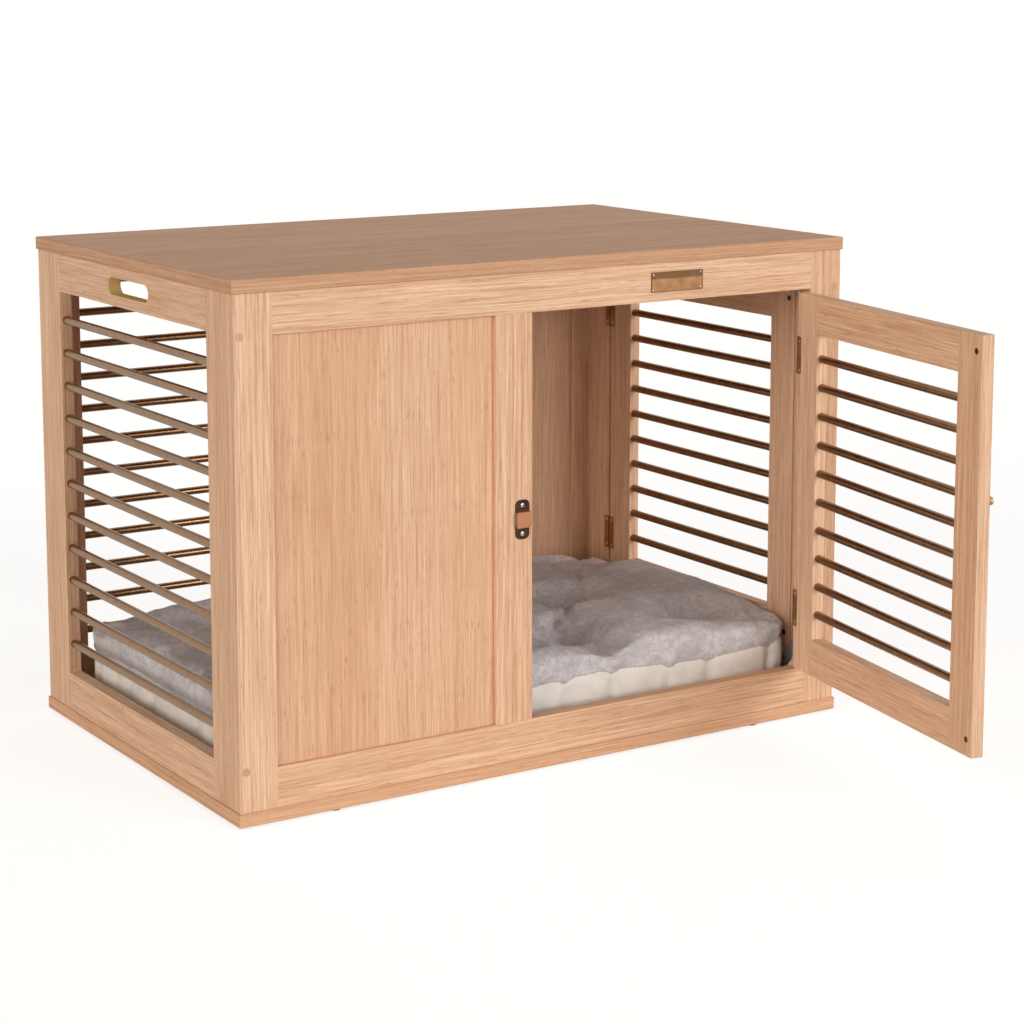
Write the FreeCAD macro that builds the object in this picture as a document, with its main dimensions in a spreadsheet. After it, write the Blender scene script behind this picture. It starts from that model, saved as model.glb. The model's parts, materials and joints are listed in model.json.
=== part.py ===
"""Dog crate end table: a framed oak cabinet with rod grilles, two rod doors, a solid top and a cushion.

Millimetres. +Z is up, the front faces -Y, and the origin is on the floor under the middle of the base.
"""
import FreeCAD, Part
import os
import re
import Sketcher
from FreeCAD import Placement, Rotation, Vector

DRIVING = {
    # boards
    "top_length": 980, "top_depth": 635, "top_thick": 18, "base_thick": 18, "overhang": 2.5,
    "edge_ease": 0.8,
    # feet
    "foot_high": 4, "foot_wide": 20, "foot_taper": 1.5, "foot_inset_x": 145, "foot_inset_y": 16,
    # frames
    "frame_high": 668, "frame_thick": 18, "rail_wide": 54, "corner_stile": 54, "mid_stile": 58,
    "side_stile": 58, "doorway": 478,
    # joinery
    "tenon_long": 20, "tenon_thick": 8, "tenon_shoulder": 9, "tenon_play": 0.1, "tenon_gap": 0.3,
    "groove_deep": 8.5, "groove_play": 0.1, "panel_thick": 9, "panel_recess": 6, "panel_gap": 0.5,
    # rods
    "rod_wide": 10, "rod_seat": 12, "rod_play": 0.1, "frame_rods": 11, "frame_rod_margin": 42,
    "door_rods": 10, "door_rod_margin": 35.5,
    # handle slots in the side rails
    "slot_long": 130, "slot_high": 24,
    # doors
    "door_gap": 4, "door_thick": 17.6, "door_stile": 54, "door_rail": 54,
    "front_door_angle": 80, "side_door_angle": 0,
    # hinges
    "hinge_inset": 90, "leaf_high": 54, "leaf_wide": 10, "leaf_thick": 1.2, "tab_high": 25,
    "knuckle_wide": 6, "knuckle_high": 8, "knuckle_play": 0.3, "pin_wide": 3, "pin_out": 3.3,
    "pin_play": 0.05,
    # slide bolts and their keepers
    "bolt_long": 44, "bolt_wide": 18, "bolt_thick": 2.5, "bolt_play": 0.3, "bolt_setback": 6,
    "bolt_travel": 25, "bolt_knob_from_tip": 33, "bolt_knob_wide": 9, "bolt_knob_high": 4.2,
    "bolt_neck_wide": 4,
    "guide_long": 38, "guide_high": 42, "guide_setback": 8, "guide_thick": 1.2,
    "knob_slot_play": 0.4,
    "keeper_high": 54, "keeper_wide": 22, "keeper_thick": 1.2, "keeper_setback": 5.2,
    "keeper_corner": 7.5, "keeper_lift": 4.6, "bridge_play": 0.6,
    # pull knobs
    "knob_wide": 12, "knob_out": 20, "knob_neck": 6, "knob_band": 3, "knob_base_wide": 11,
    "knob_base_high": 2.5,
    "knob_rise": 56, "knob_inset": 25,
    # door stops
    "stop_leg": 63, "stop_back": 24, "stop_thick": 2,
    # name plate
    "plate_long": 88, "plate_high": 28, "plate_thick": 1.2, "plate_corner": 1.5,
    # knock-down fittings
    "frame_screw_inset": 54, "frame_screw_long": 46, "frame_screw_wide": 5, "head_wide": 9,
    "head_high": 3, "cap_wide": 10, "cap_deep": 4.5, "cap_high": 1.2, "cap_proud": 0.3,
    "cam_inset": 80, "cam_drop": 24, "cam_wide": 15, "cam_long": 12, "cam_play": 0.1,
    "cam_bolt_wide": 6, "cam_bolt_into_top": 10,
    "base_screw_wide": 4, "base_screw_long": 40, "base_head_wide": 8, "base_head_high": 3,
    # cushion
    "cushion_gap": 8.5, "cushion_high": 118, "cushion_corner": 70,
    "cushion_top_round": 34, "cushion_foot_tuck": 20, "cushion_clear": 0.4,
}

doc = FreeCAD.newDocument("dog_crate_end_table")
sheet = doc.addObject("Spreadsheet::Sheet", "Sheet")
for row, (alias, value) in enumerate(DRIVING.items(), start=1):
    sheet.set(f"A{row}", alias)
    sheet.set(f"B{row}", str(value))
    sheet.setAlias(f"B{row}", alias)
doc.recompute()

WORD = re.compile(r"\b(" + "|".join(sorted(DRIVING, key=len, reverse=True)) + r")\b")
NODES = {}


def sized(text):
    """An expression on the sheet's aliases, written with their bare names."""
    return WORD.sub(r"Sheet.\1", str(text))


def bind(thing, prop, text):
    thing.setExpression(prop, sized(text))


# Sizes that follow from the driving ones, as expressions.
FRAME_LONG = "(top_length - 2 * overhang)"
FRAME_DEEP = "(top_depth - 2 * overhang)"
SIDE_LONG = f"({FRAME_DEEP} - 2 * frame_thick)"
BASE_TOP = "(foot_high + base_thick)"
FRAME_TOP = f"({BASE_TOP} + frame_high)"
OPENING_HIGH = "(frame_high - 2 * rail_wide)"
PANEL_WIDE = f"({FRAME_LONG} - 2 * corner_stile - mid_stile - doorway)"
SIDE_DOORWAY = f"({SIDE_LONG} - 2 * side_stile)"
DOOR_HIGH = f"({OPENING_HIGH} - 2 * door_gap)"
DOOR_LOW = f"({BASE_TOP} + rail_wide + door_gap)"
CUSHION_LONG = f"({FRAME_LONG} - 2 * frame_thick - 2 * cushion_gap)"
CUSHION_DEEP = f"({SIDE_LONG} - 2 * cushion_gap)"
MORTISE_DEEP = "(tenon_long + tenon_gap)"
TENON_FACE = "((frame_thick - tenon_thick) / 2)"
DOOR_TENON_FACE = "((door_thick - tenon_thick) / 2)"

# Each side's own frame: x runs along the side seen from outside, y goes inwards, z goes up.
SIDES = {
    "cabinet": ("0", "0", "0", "0"),
    "front": (f"-{FRAME_LONG} / 2", f"-{FRAME_DEEP} / 2", BASE_TOP, "0"),
    "back": (f"{FRAME_LONG} / 2", f"{FRAME_DEEP} / 2", BASE_TOP, "180"),
    "left": (f"-{FRAME_LONG} / 2", f"{SIDE_LONG} / 2", BASE_TOP, "-90"),
    "right": (f"{FRAME_LONG} / 2", f"-{SIDE_LONG} / 2", BASE_TOP, "90"),
}
# A door's frame starts on its hinge axis: x points from the free edge to the hinge, y inwards.
FRONT_PIN_X = f"({FRAME_LONG} / 2 - corner_stile - door_gap / 2)"
SIDE_PIN_Y = f"({SIDE_LONG} / 2 - side_stile - door_gap / 2)"
SIDES["front_door"] = (FRONT_PIN_X, f"-{FRAME_DEEP} / 2 - pin_out", DOOR_LOW, "front_door_angle")
SIDES["side_door"] = (f"{FRAME_LONG} / 2 + pin_out", SIDE_PIN_Y, DOOR_LOW, "(90 + side_door_angle)")
# The fixed hinge leaves stand on the same axes, with the doors' angles left out.
SIDES["front_hinge"] = SIDES["front_door"][:3] + ("0",)
SIDES["side_hinge"] = SIDES["side_door"][:3] + ("90",)


def place(thing, side, x="0", y="0", z="0"):
    """Puts a piece at (x, y, z) of a side's own frame, turned with that side."""
    start_x, start_y, start_z, turn = SIDES[side]
    thing.Placement = Placement(Vector(), Rotation(Vector(0, 0, 1), 1))
    bind(thing, "Placement.Rotation.Angle", turn)
    cosine, sine = f"cos({turn} * 1deg)", f"sin({turn} * 1deg)"
    bind(thing, "Placement.Base.x", f"{start_x} + ({x}) * {cosine} - ({y}) * {sine}")
    bind(thing, "Placement.Base.y", f"{start_y} + ({x}) * {sine} + ({y}) * {cosine}")
    bind(thing, "Placement.Base.z", f"{start_z} + {z}")


def node(thing, name):
    thing.Label = name
    NODES[name] = thing
    return thing


def new_body(name):
    return doc.addObject("PartDesign::Body", name)


def sketch_on(body, role, name, lift="0", shift="0"):
    """A sketch on one of the body's own planes, lifted along its normal and shifted along its own x."""
    sketch = body.newObject("Sketcher::SketchObject", name)
    plane = next(f for f in body.Origin.OriginFeatures if f.Role == role)
    sketch.AttachmentSupport = [(plane, "")]
    sketch.MapMode = "FlatFace"
    if lift != "0":
        bind(sketch, "AttachmentOffset.Base.z", lift)
    if shift != "0":
        bind(sketch, "AttachmentOffset.Base.x", shift)
    return sketch


def fix(sketch, axis, geometry, point, text):
    """Holds a point at a distance from the sketch's axis, or on it."""
    if text == "0":
        line = -2 if axis == "X" else -1
        sketch.addConstraint(Sketcher.Constraint("PointOnObject", geometry, point, line))
        return
    made = Sketcher.Constraint("Distance" + axis, -1, 1, geometry, point, 10.0)
    index = sketch.addConstraint(made)
    bind(sketch, f"Constraints[{index}]", text)


def rectangle(sketch, left, low, wide, high):
    first = sketch.GeometryCount
    corners = [Vector(10, 10, 0), Vector(30, 10, 0), Vector(30, 30, 0), Vector(10, 30, 0)]
    for i in range(4):
        sketch.addGeometry(Part.LineSegment(corners[i], corners[(i + 1) % 4]))
    for i in range(4):
        follower = first + (i + 1) % 4
        sketch.addConstraint(Sketcher.Constraint("Coincident", first + i, 2, follower, 1))
    for i in (0, 2):
        sketch.addConstraint(Sketcher.Constraint("Horizontal", first + i))
        sketch.addConstraint(Sketcher.Constraint("Vertical", first + i + 1))
    fix(sketch, "X", first, 1, left)
    fix(sketch, "Y", first, 1, low)
    across = sketch.addConstraint(Sketcher.Constraint("DistanceX", first, 1, first, 2, 20.0))
    bind(sketch, f"Constraints[{across}]", wide)
    up = sketch.addConstraint(Sketcher.Constraint("DistanceY", first + 1, 1, first + 1, 2, 20.0))
    bind(sketch, f"Constraints[{up}]", high)


def circle(sketch, x, y, wide):
    index = sketch.addGeometry(Part.Circle(Vector(20, 20, 0), Vector(0, 0, 1), 2))
    fix(sketch, "X", index, 3, x)
    fix(sketch, "Y", index, 3, y)
    across = sketch.addConstraint(Sketcher.Constraint("Diameter", index, 4.0))
    bind(sketch, f"Constraints[{across}]", wide)


def pad(body, sketch, length):
    made = body.newObject("PartDesign::Pad", sketch.Name + "_pad")
    made.Profile = sketch
    bind(made, "Length", length)
    sketch.Visibility = False
    return made


def pocket(body, sketch, depth, forward=False):
    """Cuts against the sketch's normal, or along it when forward."""
    made = body.newObject("PartDesign::Pocket", sketch.Name + "_pocket")
    made.Profile = sketch
    bind(made, "Length", depth)
    made.Reversed = forward
    return made


def edges_along(shape, axis, at_least=0.0):
    """Names of the straight edges that run along an axis."""
    names = []
    for number, edge in enumerate(shape.Edges, start=1):
        if len(edge.Vertexes) != 2 or edge.Length < at_least:
            continue
        run = edge.Vertexes[1].Point - edge.Vertexes[0].Point
        if abs(abs(run.dot(axis)) - edge.Length) < 1e-6:
            names.append(f"Edge{number}")
    return names


def dress(body, kind, prop, size, names):
    """A fillet or chamfer on the named edges of the body's tip."""
    base = body.Tip
    made = body.newObject("PartDesign::" + kind, f"{base.Name}_{kind.lower()}")
    made.Base = (base, names)
    bind(made, prop, size)
    return made


def round_upright(body, axis, radius, kind="Fillet"):
    doc.recompute()
    names = edges_along(body.Tip.Shape, axis)
    return dress(body, kind, "Radius" if kind == "Fillet" else "Size", radius, names)


def cylinder(name, wide, high):
    made = doc.addObject("Part::Cylinder", name)
    bind(made, "Radius", f"({wide}) / 2")
    bind(made, "Height", high)
    return made


def group(name, solids):
    made = doc.addObject("Part::Compound", name)
    made.Links = solids
    return node(made, name)


# ---------------------------------------------------------------- boards and feet
def rail_points(count_long, inset):
    """Where a fitting sits in each top or bottom rail: (side, x along the side)."""
    spans = {"front": ("corner_stile", FRAME_LONG), "back": ("corner_stile", FRAME_LONG),
             "left": ("side_stile", SIDE_LONG), "right": ("side_stile", SIDE_LONG)}
    points = []
    for side in count_long:
        stile, total = spans[side]
        points.append((side, f"({stile} + {inset})"))
        points.append((side, f"({total} - {stile} - {inset})"))
    return points


ALL_SIDES = ("front", "back", "left", "right")
BOARD_X = {"front": f"(overhang + {{x}})", "back": f"(top_length - overhang - {{x}})",
           "left": f"(overhang + frame_thick / 2)", "right": f"(top_length - overhang - frame_thick / 2)"}
BOARD_Y = {"front": "(overhang + frame_thick / 2)", "back": "(top_depth - overhang - frame_thick / 2)",
           "left": f"(top_depth - overhang - frame_thick - {{x}})",
           "right": f"(overhang + frame_thick + {{x}})"}


def board_points():
    """The same fittings seen from the board's own front left corner: (x, y)."""
    return [(BOARD_X[s].format(x=x), BOARD_Y[s].format(x=x)) for s, x in rail_points(ALL_SIDES, "cam_inset")]


def board(name, thick, low, hole_wide, hole_deep, from_top):
    """A flat board with eased edges and a row of fitting holes over the frames."""
    body = new_body(name)
    outline = sketch_on(body, "XY_Plane", name + "_outline")
    rectangle(outline, "0", "0", "top_length", "top_depth")
    pad(body, outline, thick)
    doc.recompute()
    rim = [n for a in (Vector(1, 0, 0), Vector(0, 1, 0)) for n in edges_along(body.Tip.Shape, a)]
    dress(body, "Chamfer", "Size", "edge_ease", rim)
    holes = sketch_on(body, "XY_Plane", name + "_holes")
    for x, y in board_points():
        circle(holes, x, y, hole_wide)
    pocket(body, holes, hole_deep, forward=True)
    if from_top:
        sinks = sketch_on(body, "XY_Plane", name + "_sinks")
        for x, y in board_points():
            circle(sinks, x, y, "(base_head_wide + 2 * cam_play)")
        pocket(body, sinks, "base_head_high", forward=True)
    place(body, "cabinet", "-top_length / 2", "-top_depth / 2", low)
    return node(body, name)


board("base_board", "base_thick", "foot_high", "(base_screw_wide + 2 * cam_play)", "base_thick", True)
board("table_top", "top_thick", FRAME_TOP, "(cam_bolt_wide + 2 * cam_play)", "cam_bolt_into_top", False)


def floor_glides():
    """Turned plastic glides: one near each corner and one under the middle of the base."""
    x, y = "(top_length / 2 - foot_inset_x)", "(top_depth / 2 - foot_inset_y)"
    spots = [(f"-{x}", f"-{y}"), (x, f"-{y}"), (f"-{x}", y), (x, y), ("0", "0")]
    feet = []
    for i, (at_x, at_y) in enumerate(spots):
        foot = doc.addObject("Part::Cone", f"glide_{i}")
        bind(foot, "Radius1", "foot_wide / 2 - foot_taper")
        bind(foot, "Radius2", "foot_wide / 2")
        bind(foot, "Height", "foot_high")
        place(foot, "cabinet", at_x, at_y)
        feet.append(foot)
    return group("floor_glides", feet)


floor_glides()


# ---------------------------------------------------------------- frames
def rail(name, side, x, z, long, wide, thick, face, groove=None, mortise=None, upper=False):
    """A rail with a tenon on each end. groove is (x, length) and mortise an x, both on its inner edge."""
    body = new_body(name)
    blank = sketch_on(body, "YZ_Plane", name + "_blank")
    rectangle(blank, "0", "0", thick, wide)
    pad(body, blank, long)
    tenons = sketch_on(body, "YZ_Plane", name + "_tenons", "-tenon_long")
    rectangle(tenons, face, "tenon_shoulder", "tenon_thick", f"({wide} - 2 * tenon_shoulder)")
    pad(body, tenons, f"({long} + 2 * tenon_long)")
    edge = "0" if upper else wide
    if groove:
        start, length = groove
        cut = sketch_on(body, "XY_Plane", name + "_groove", edge)
        rectangle(cut, start, "(panel_recess - groove_play)", length, "(panel_thick + 2 * groove_play)")
        pocket(body, cut, "groove_deep", forward=upper)
    if mortise:
        cut = sketch_on(body, "XY_Plane", name + "_mortise", edge)
        rectangle(cut, f"({mortise} + tenon_shoulder - tenon_play)", f"({face} - tenon_play)",
                  "(mid_stile - 2 * tenon_shoulder + 2 * tenon_play)", "(tenon_thick + 2 * tenon_play)")
        pocket(body, cut, MORTISE_DEEP, forward=upper)
    place(body, side, x, "0" if side in ALL_SIDES else "pin_out", z)
    return body


def stile(name, side, x, z, high, wide, thick, face, rail_high, joined=(True, True), groove=None,
          rods=None):
    """An upright between or beside rails. joined says which edges (low x, high x) take rail tenons,
    groove and rods name the edge, "low" or "high", that holds the panel or the rods."""
    body = new_body(name)
    blank = sketch_on(body, "XY_Plane", name + "_blank")
    rectangle(blank, "0", "0", wide, thick)
    pad(body, blank, high)
    for edge, has in zip(("low", "high"), joined):
        if not has:
            continue
        cut = sketch_on(body, "YZ_Plane", f"{name}_mortises_{edge}", wide if edge == "high" else "0")
        for low in ("0", f"({high} - {rail_high})"):
            rectangle(cut, f"({face} - tenon_play)", f"({low} + tenon_shoulder - tenon_play)",
                      "(tenon_thick + 2 * tenon_play)",
                      f"({rail_high} - 2 * tenon_shoulder + 2 * tenon_play)")
        pocket(body, cut, MORTISE_DEEP, forward=edge == "low")
    if groove:
        cut = sketch_on(body, "YZ_Plane", name + "_groove", wide if groove == "high" else "0")
        rectangle(cut, "(panel_recess - groove_play)", f"({rail_high} - groove_deep)",
                  "(panel_thick + 2 * groove_play)", f"({high} - 2 * {rail_high} + 2 * groove_deep)")
        pocket(body, cut, "groove_deep", forward=groove == "low")
    if rods:
        edge, count, margin = rods
        holes = sketch_on(body, "YZ_Plane", name + "_rod_holes", wide if edge == "high" else "0")
        for z_rod in rod_heights(count, margin, high, rail_high):
            circle(holes, f"({thick} / 2)", z_rod, "(rod_wide + 2 * rod_play)")
        pocket(body, holes, "rod_seat", forward=edge == "low")
    place(body, side, x, "0" if side in ALL_SIDES else "pin_out", z)
    return body


def rod_heights(count, margin, high, rail_high):
    """Evenly spaced rod heights between two rails, from the frame's lower edge."""
    span = f"({high} - 2 * {rail_high} - 2 * {margin})"
    return [f"({rail_high} + {margin} + {span} * {i} / ({count} - 1))" for i in range(DRIVING[count])]


def rods(name, side, x, z, long, count, margin, high, rail_high, thick, y="0"):
    """A grille of round rods that end in blind holes of the uprights."""
    made = []
    for i, z_rod in enumerate(rod_heights(count, margin, high, rail_high)):
        rod = cylinder(f"{name}_{i}", "rod_wide", f"({long} + 2 * rod_seat)")
        start = doc.addObject("Part::Compound", f"{name}_{i}_laid")
        rod.Placement = Placement(Vector(), Rotation(Vector(0, 1, 0), 90))
        start.Links = [rod]
        place(start, side, f"{x} - rod_seat", f"{y} + {thick} / 2", f"({z} + {z_rod})")
        made.append(start)
    return group(name, made)


def mid_tenons(body, name):
    """Tenons on both ends of the middle upright, which stands between the rails."""
    cut = sketch_on(body, "XY_Plane", name + "_end_tenons", "-tenon_long")
    rectangle(cut, "tenon_shoulder", TENON_FACE, "(mid_stile - 2 * tenon_shoulder)", "tenon_thick")
    pad(body, cut, f"({OPENING_HIGH} + 2 * tenon_long)")


def mid_upright(name, side, x):
    """The middle upright: a groove for the panel on its low edge, and rods or a doorway on the other."""
    body = new_body(name)
    blank = sketch_on(body, "XY_Plane", name + "_blank")
    rectangle(blank, "0", "0", "mid_stile", "frame_thick")
    pad(body, blank, OPENING_HIGH)
    mid_tenons(body, name)
    cut = sketch_on(body, "YZ_Plane", name + "_groove")
    rectangle(cut, "(panel_recess - groove_play)", "0", "(panel_thick + 2 * groove_play)", OPENING_HIGH)
    pocket(body, cut, "groove_deep", forward=True)
    if side == "back":
        holes = sketch_on(body, "YZ_Plane", name + "_rod_holes", "mid_stile")
        for z_rod in rod_heights("frame_rods", "frame_rod_margin", "frame_high", "rail_wide"):
            circle(holes, "(frame_thick / 2)", f"({z_rod} - rail_wide)", "(rod_wide + 2 * rod_play)")
        pocket(body, holes, "rod_seat")
    place(body, side, x, "0", "rail_wide")
    return node(body, name)


def panel(name, side):
    """The thin panel, whose edges sit in the grooves of its frame."""
    body = new_body(name)
    outline = sketch_on(body, "XY_Plane", name + "_outline")
    rectangle(outline, "0", "0", f"({PANEL_WIDE} + 2 * groove_deep - 2 * panel_gap)", "panel_thick")
    pad(body, outline, f"({OPENING_HIGH} + 2 * groove_deep - 2 * panel_gap)")
    place(body, side, "corner_stile - groove_deep + panel_gap", "panel_recess",
          "(rail_wide - groove_deep + panel_gap)")
    return node(body, name)


def frame_screw_holes(body, name, stile_wide, x_mid):
    """Counterbored holes through a corner stile's face, on the line of the side frame's middle."""
    for tag, wide, depth in (("shank", "(frame_screw_wide + 2 * cam_play)", "frame_thick"),
                             ("sink", "(cap_wide + 2 * cam_play)", "cap_deep")):
        cut = sketch_on(body, "XZ_Plane", f"{name}_{tag}")
        for z in ("frame_screw_inset", "(frame_high - frame_screw_inset)"):
            circle(cut, x_mid, z, wide)
        pocket(body, cut, depth)


def end_frame(side):
    """Front or back: two corner uprights, a middle upright, two rails and a recessed panel."""
    rod_edge = ("low", "frame_rods", "frame_rod_margin") if side == "back" else None
    names = {"front": ("front_left_stile", "front_right_stile"),
             "back": ("back_right_stile", "back_left_stile")}[side]
    common = dict(z="0", high="frame_high", wide="corner_stile", thick="frame_thick",
                  face=TENON_FACE, rail_high="rail_wide")
    first = stile(names[0], side, "0", joined=(False, True), groove="high", **common)
    frame_screw_holes(first, names[0], "corner_stile", "(frame_thick / 2)")
    node(first, names[0])
    last = stile(names[1], side, f"({FRAME_LONG} - corner_stile)", joined=(True, False),
                 rods=rod_edge, **common)
    frame_screw_holes(last, names[1], "corner_stile", "(corner_stile - frame_thick / 2)")
    node(last, names[1])
    length = f"({FRAME_LONG} - 2 * corner_stile)"
    for tag, z, upper in (("bottom", "0", False), ("top", "(frame_high - rail_wide)", True)):
        name = f"{side}_{tag}_rail"
        made = rail(name, side, "corner_stile", z, length, "rail_wide", "frame_thick", TENON_FACE,
                    groove=("0", f"({PANEL_WIDE} + groove_deep)"), mortise=PANEL_WIDE,
                    upper=upper)
        rail_fittings(made, name, length, tag)
        node(made, name)
    mid_upright(f"{side}_middle_stile", side, f"(corner_stile + {PANEL_WIDE})")
    panel(f"{side}_panel", side)
    if side == "back":
        rods("back_rods", side, f"({FRAME_LONG} - corner_stile - doorway)", "0", "doorway",
             "frame_rods", "frame_rod_margin", "frame_high", "rail_wide", "frame_thick")


def rail_fittings(body, name, length, tag):
    """Cam bores and bolt holes in a top rail, or pilot holes in a bottom rail."""
    spots = ("cam_inset", f"({length} - cam_inset)")
    if tag == "top":
        bores = sketch_on(body, "XZ_Plane", name + "_cams", "-frame_thick")
        for x in spots:
            circle(bores, x, "(rail_wide - cam_drop)", "(cam_wide + 2 * cam_play)")
        pocket(body, bores, "cam_long", forward=True)
        drops = sketch_on(body, "XY_Plane", name + "_bolts", "rail_wide")
        for x in spots:
            circle(drops, x, "(frame_thick / 2)", "(cam_bolt_wide + 2 * cam_play)")
        pocket(body, drops, "cam_drop")
    else:
        pilots = sketch_on(body, "XY_Plane", name + "_pilots")
        for x in spots:
            circle(pilots, x, "(frame_thick / 2)", "base_screw_wide")
        pocket(body, pilots, "(base_screw_long - base_thick)", forward=True)


def handle_slot(body, name, length):
    """A round-ended hand hole through the middle of a side's top rail."""
    middle = sketch_on(body, "XZ_Plane", name + "_slot")
    rectangle(middle, f"(({length} - slot_long + slot_high) / 2)", "((rail_wide - slot_high) / 2)",
              "(slot_long - slot_high)", "slot_high")
    pocket(body, middle, "frame_thick")
    ends = sketch_on(body, "XZ_Plane", name + "_slot_ends")
    for sign in ("-", "+"):
        circle(ends, f"({length} / 2 {sign} (slot_long - slot_high) / 2)", "(rail_wide / 2)", "slot_high")
    pocket(body, ends, "frame_thick")


def side_frame(side):
    """Left or right: two uprights and two rails between the front and back frames."""
    near, far = {"left": ("left_back_stile", "left_front_stile"),
                 "right": ("right_front_stile", "right_back_stile")}[side]
    filled = side == "left"
    common = dict(z="0", high="frame_high", wide="side_stile", thick="frame_thick",
                  face=TENON_FACE, rail_high="rail_wide")
    grille = ("frame_rods", "frame_rod_margin")
    first = stile(near, side, "0", joined=(False, True), rods=("high",) + grille if filled else None, **common)
    last = stile(far, side, f"({SIDE_LONG} - side_stile)", joined=(True, False),
                 rods=("low",) + grille if filled else None, **common)
    for body, name, edge in ((first, near, "0"), (last, far, "side_stile")):
        pilots = sketch_on(body, "YZ_Plane", name + "_pilots", edge)
        for z in ("frame_screw_inset", "(frame_high - frame_screw_inset)"):
            circle(pilots, "(frame_thick / 2)", z, "frame_screw_wide")
        pocket(body, pilots, "(frame_screw_long - frame_thick)", forward=edge == "0")
        node(body, name)
    for tag, z, upper in (("bottom", "0", False), ("top", "(frame_high - rail_wide)", True)):
        name = f"{side}_{tag}_rail"
        made = rail(name, side, "side_stile", z, SIDE_DOORWAY, "rail_wide", "frame_thick", TENON_FACE,
                    upper=upper)
        rail_fittings(made, name, SIDE_DOORWAY, tag)
        if tag == "top":
            handle_slot(made, name, SIDE_DOORWAY)
        node(made, name)
    if filled:
        rods("left_rods", side, "side_stile", "0", SIDE_DOORWAY, "frame_rods", "frame_rod_margin",
             "frame_high", "rail_wide", "frame_thick")


end_frame("front")
end_frame("back")
side_frame("left")
side_frame("right")


# ---------------------------------------------------------------- doors
def door(side, doorway):
    """A rod door: two uprights, two rails and a grille, hung in its doorway."""
    width = f"({doorway} - 2 * door_gap)"
    reach = f"({width} + door_gap / 2)"
    common = dict(z="0", high=DOOR_HIGH, wide="door_stile", thick="door_thick", face=DOOR_TENON_FACE,
                  rail_high="door_rail")
    for name, x, edge, joined in (("latch_stile", f"(-{reach})", "high", (False, True)),
                                  ("hinge_stile", "(-door_gap / 2 - door_stile)", "low", (True, False))):
        made = stile(f"{side}_{name}", side, x, joined=joined,
                     rods=(edge, "door_rods", "door_rod_margin"), **common)
        node(made, f"{side}_{name}")
    between = f"({width} - 2 * door_stile)"
    start = f"(-{reach} + door_stile)"
    for tag, z in (("bottom", "0"), ("top", f"({DOOR_HIGH} - door_rail)")):
        name = f"{side}_{tag}_rail"
        node(rail(name, side, start, z, between, "door_rail", "door_thick", DOOR_TENON_FACE), name)
    rods(f"{side}_rods", side, start, "0", between, "door_rods", "door_rod_margin", DOOR_HIGH,
         "door_rail", "door_thick", "pin_out")


door("front_door", "doorway")
door("side_door", SIDE_DOORWAY)


# ---------------------------------------------------------------- hinges
def hinge_leaf(name, side, centre_z, on_door):
    """A bent leaf: a plate on the inner face, a tab through the gap, and its barrel outside.

    Its own origin is one barrel radius outside the pin; the door's leaf is the other hand.
    """
    body = new_body(name)
    pin_x = "(leaf_wide + door_gap / 2)" if on_door else "(knuckle_wide / 2)"
    pin_y = "(knuckle_wide / 2)"
    thick = "door_thick" if on_door else "frame_thick"

    def left(start, wide):
        return f"({pin_x} - {start} - {wide})" if on_door else f"({pin_x} + {start})"

    tab_at = "(door_gap / 2 - leaf_thick)"
    inner = f"({pin_y} + pin_out + {thick})"
    plate = sketch_on(body, "XY_Plane", name + "_plate")
    rectangle(plate, left(tab_at, "(leaf_wide + leaf_thick)"), inner, "(leaf_wide + leaf_thick)", "leaf_thick")
    pad(body, plate, "leaf_high")
    tab = sketch_on(body, "XY_Plane", name + "_tab", "((leaf_high - tab_high) / 2)")
    rectangle(tab, left(tab_at, "leaf_thick"), f"({pin_y} + pin_out)", "leaf_thick", f"({thick} + leaf_thick)")
    pad(body, tab, "tab_high")
    if on_door:
        barrels = [("(leaf_high / 2 - knuckle_high / 2)", "knuckle_high")]
    else:
        end_high = "(tab_high / 2 - knuckle_high / 2 - knuckle_play)"
        barrels = [("((leaf_high - tab_high) / 2)", end_high),
                   ("(leaf_high / 2 + knuckle_high / 2 + knuckle_play)", end_high)]
    for i, (low, high) in enumerate(barrels):
        neck = sketch_on(body, "XY_Plane", f"{name}_neck_{i}", low)
        rectangle(neck, left(tab_at, "leaf_thick"), pin_y, "leaf_thick", "(pin_out + leaf_thick)")
        pad(body, neck, high)
        barrel = sketch_on(body, "XY_Plane", f"{name}_barrel_{i}", low)
        circle(barrel, pin_x, pin_y, "knuckle_wide")
        pad(body, barrel, high)
    bore = sketch_on(body, "XY_Plane", name + "_bore")
    circle(bore, pin_x, pin_y, "(pin_wide + 2 * pin_play)" if on_door else "pin_wide")
    pocket(body, bore, "leaf_high", forward=True)
    place(body, side, f"(-{pin_x})", f"(-{pin_y})", f"({centre_z} - leaf_high / 2)")
    return body


def hinges(door_side, frame_side, prefix):
    heights = ("hinge_inset", f"({DOOR_HIGH} - hinge_inset)")
    fixed, moving, pins = [], [], []
    for i, z in enumerate(heights):
        fixed.append(hinge_leaf(f"{prefix}_frame_leaf_{i}", frame_side, z, False))
        moving.append(hinge_leaf(f"{prefix}_door_leaf_{i}", door_side, z, True))
        pin = cylinder(f"{prefix}_pin_{i}", "pin_wide", "tab_high")
        place(pin, frame_side, "0", "0", f"({z} - tab_high / 2)")
        pins.append(pin)
    group(f"{prefix}_hinge_frame_leaves", fixed)
    group(f"{prefix}_hinge_door_leaves", moving)
    group(f"{prefix}_hinge_pins", pins)


hinges("front_door", "front_hinge", "front")
hinges("side_door", "side_hinge", "side")

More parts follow.
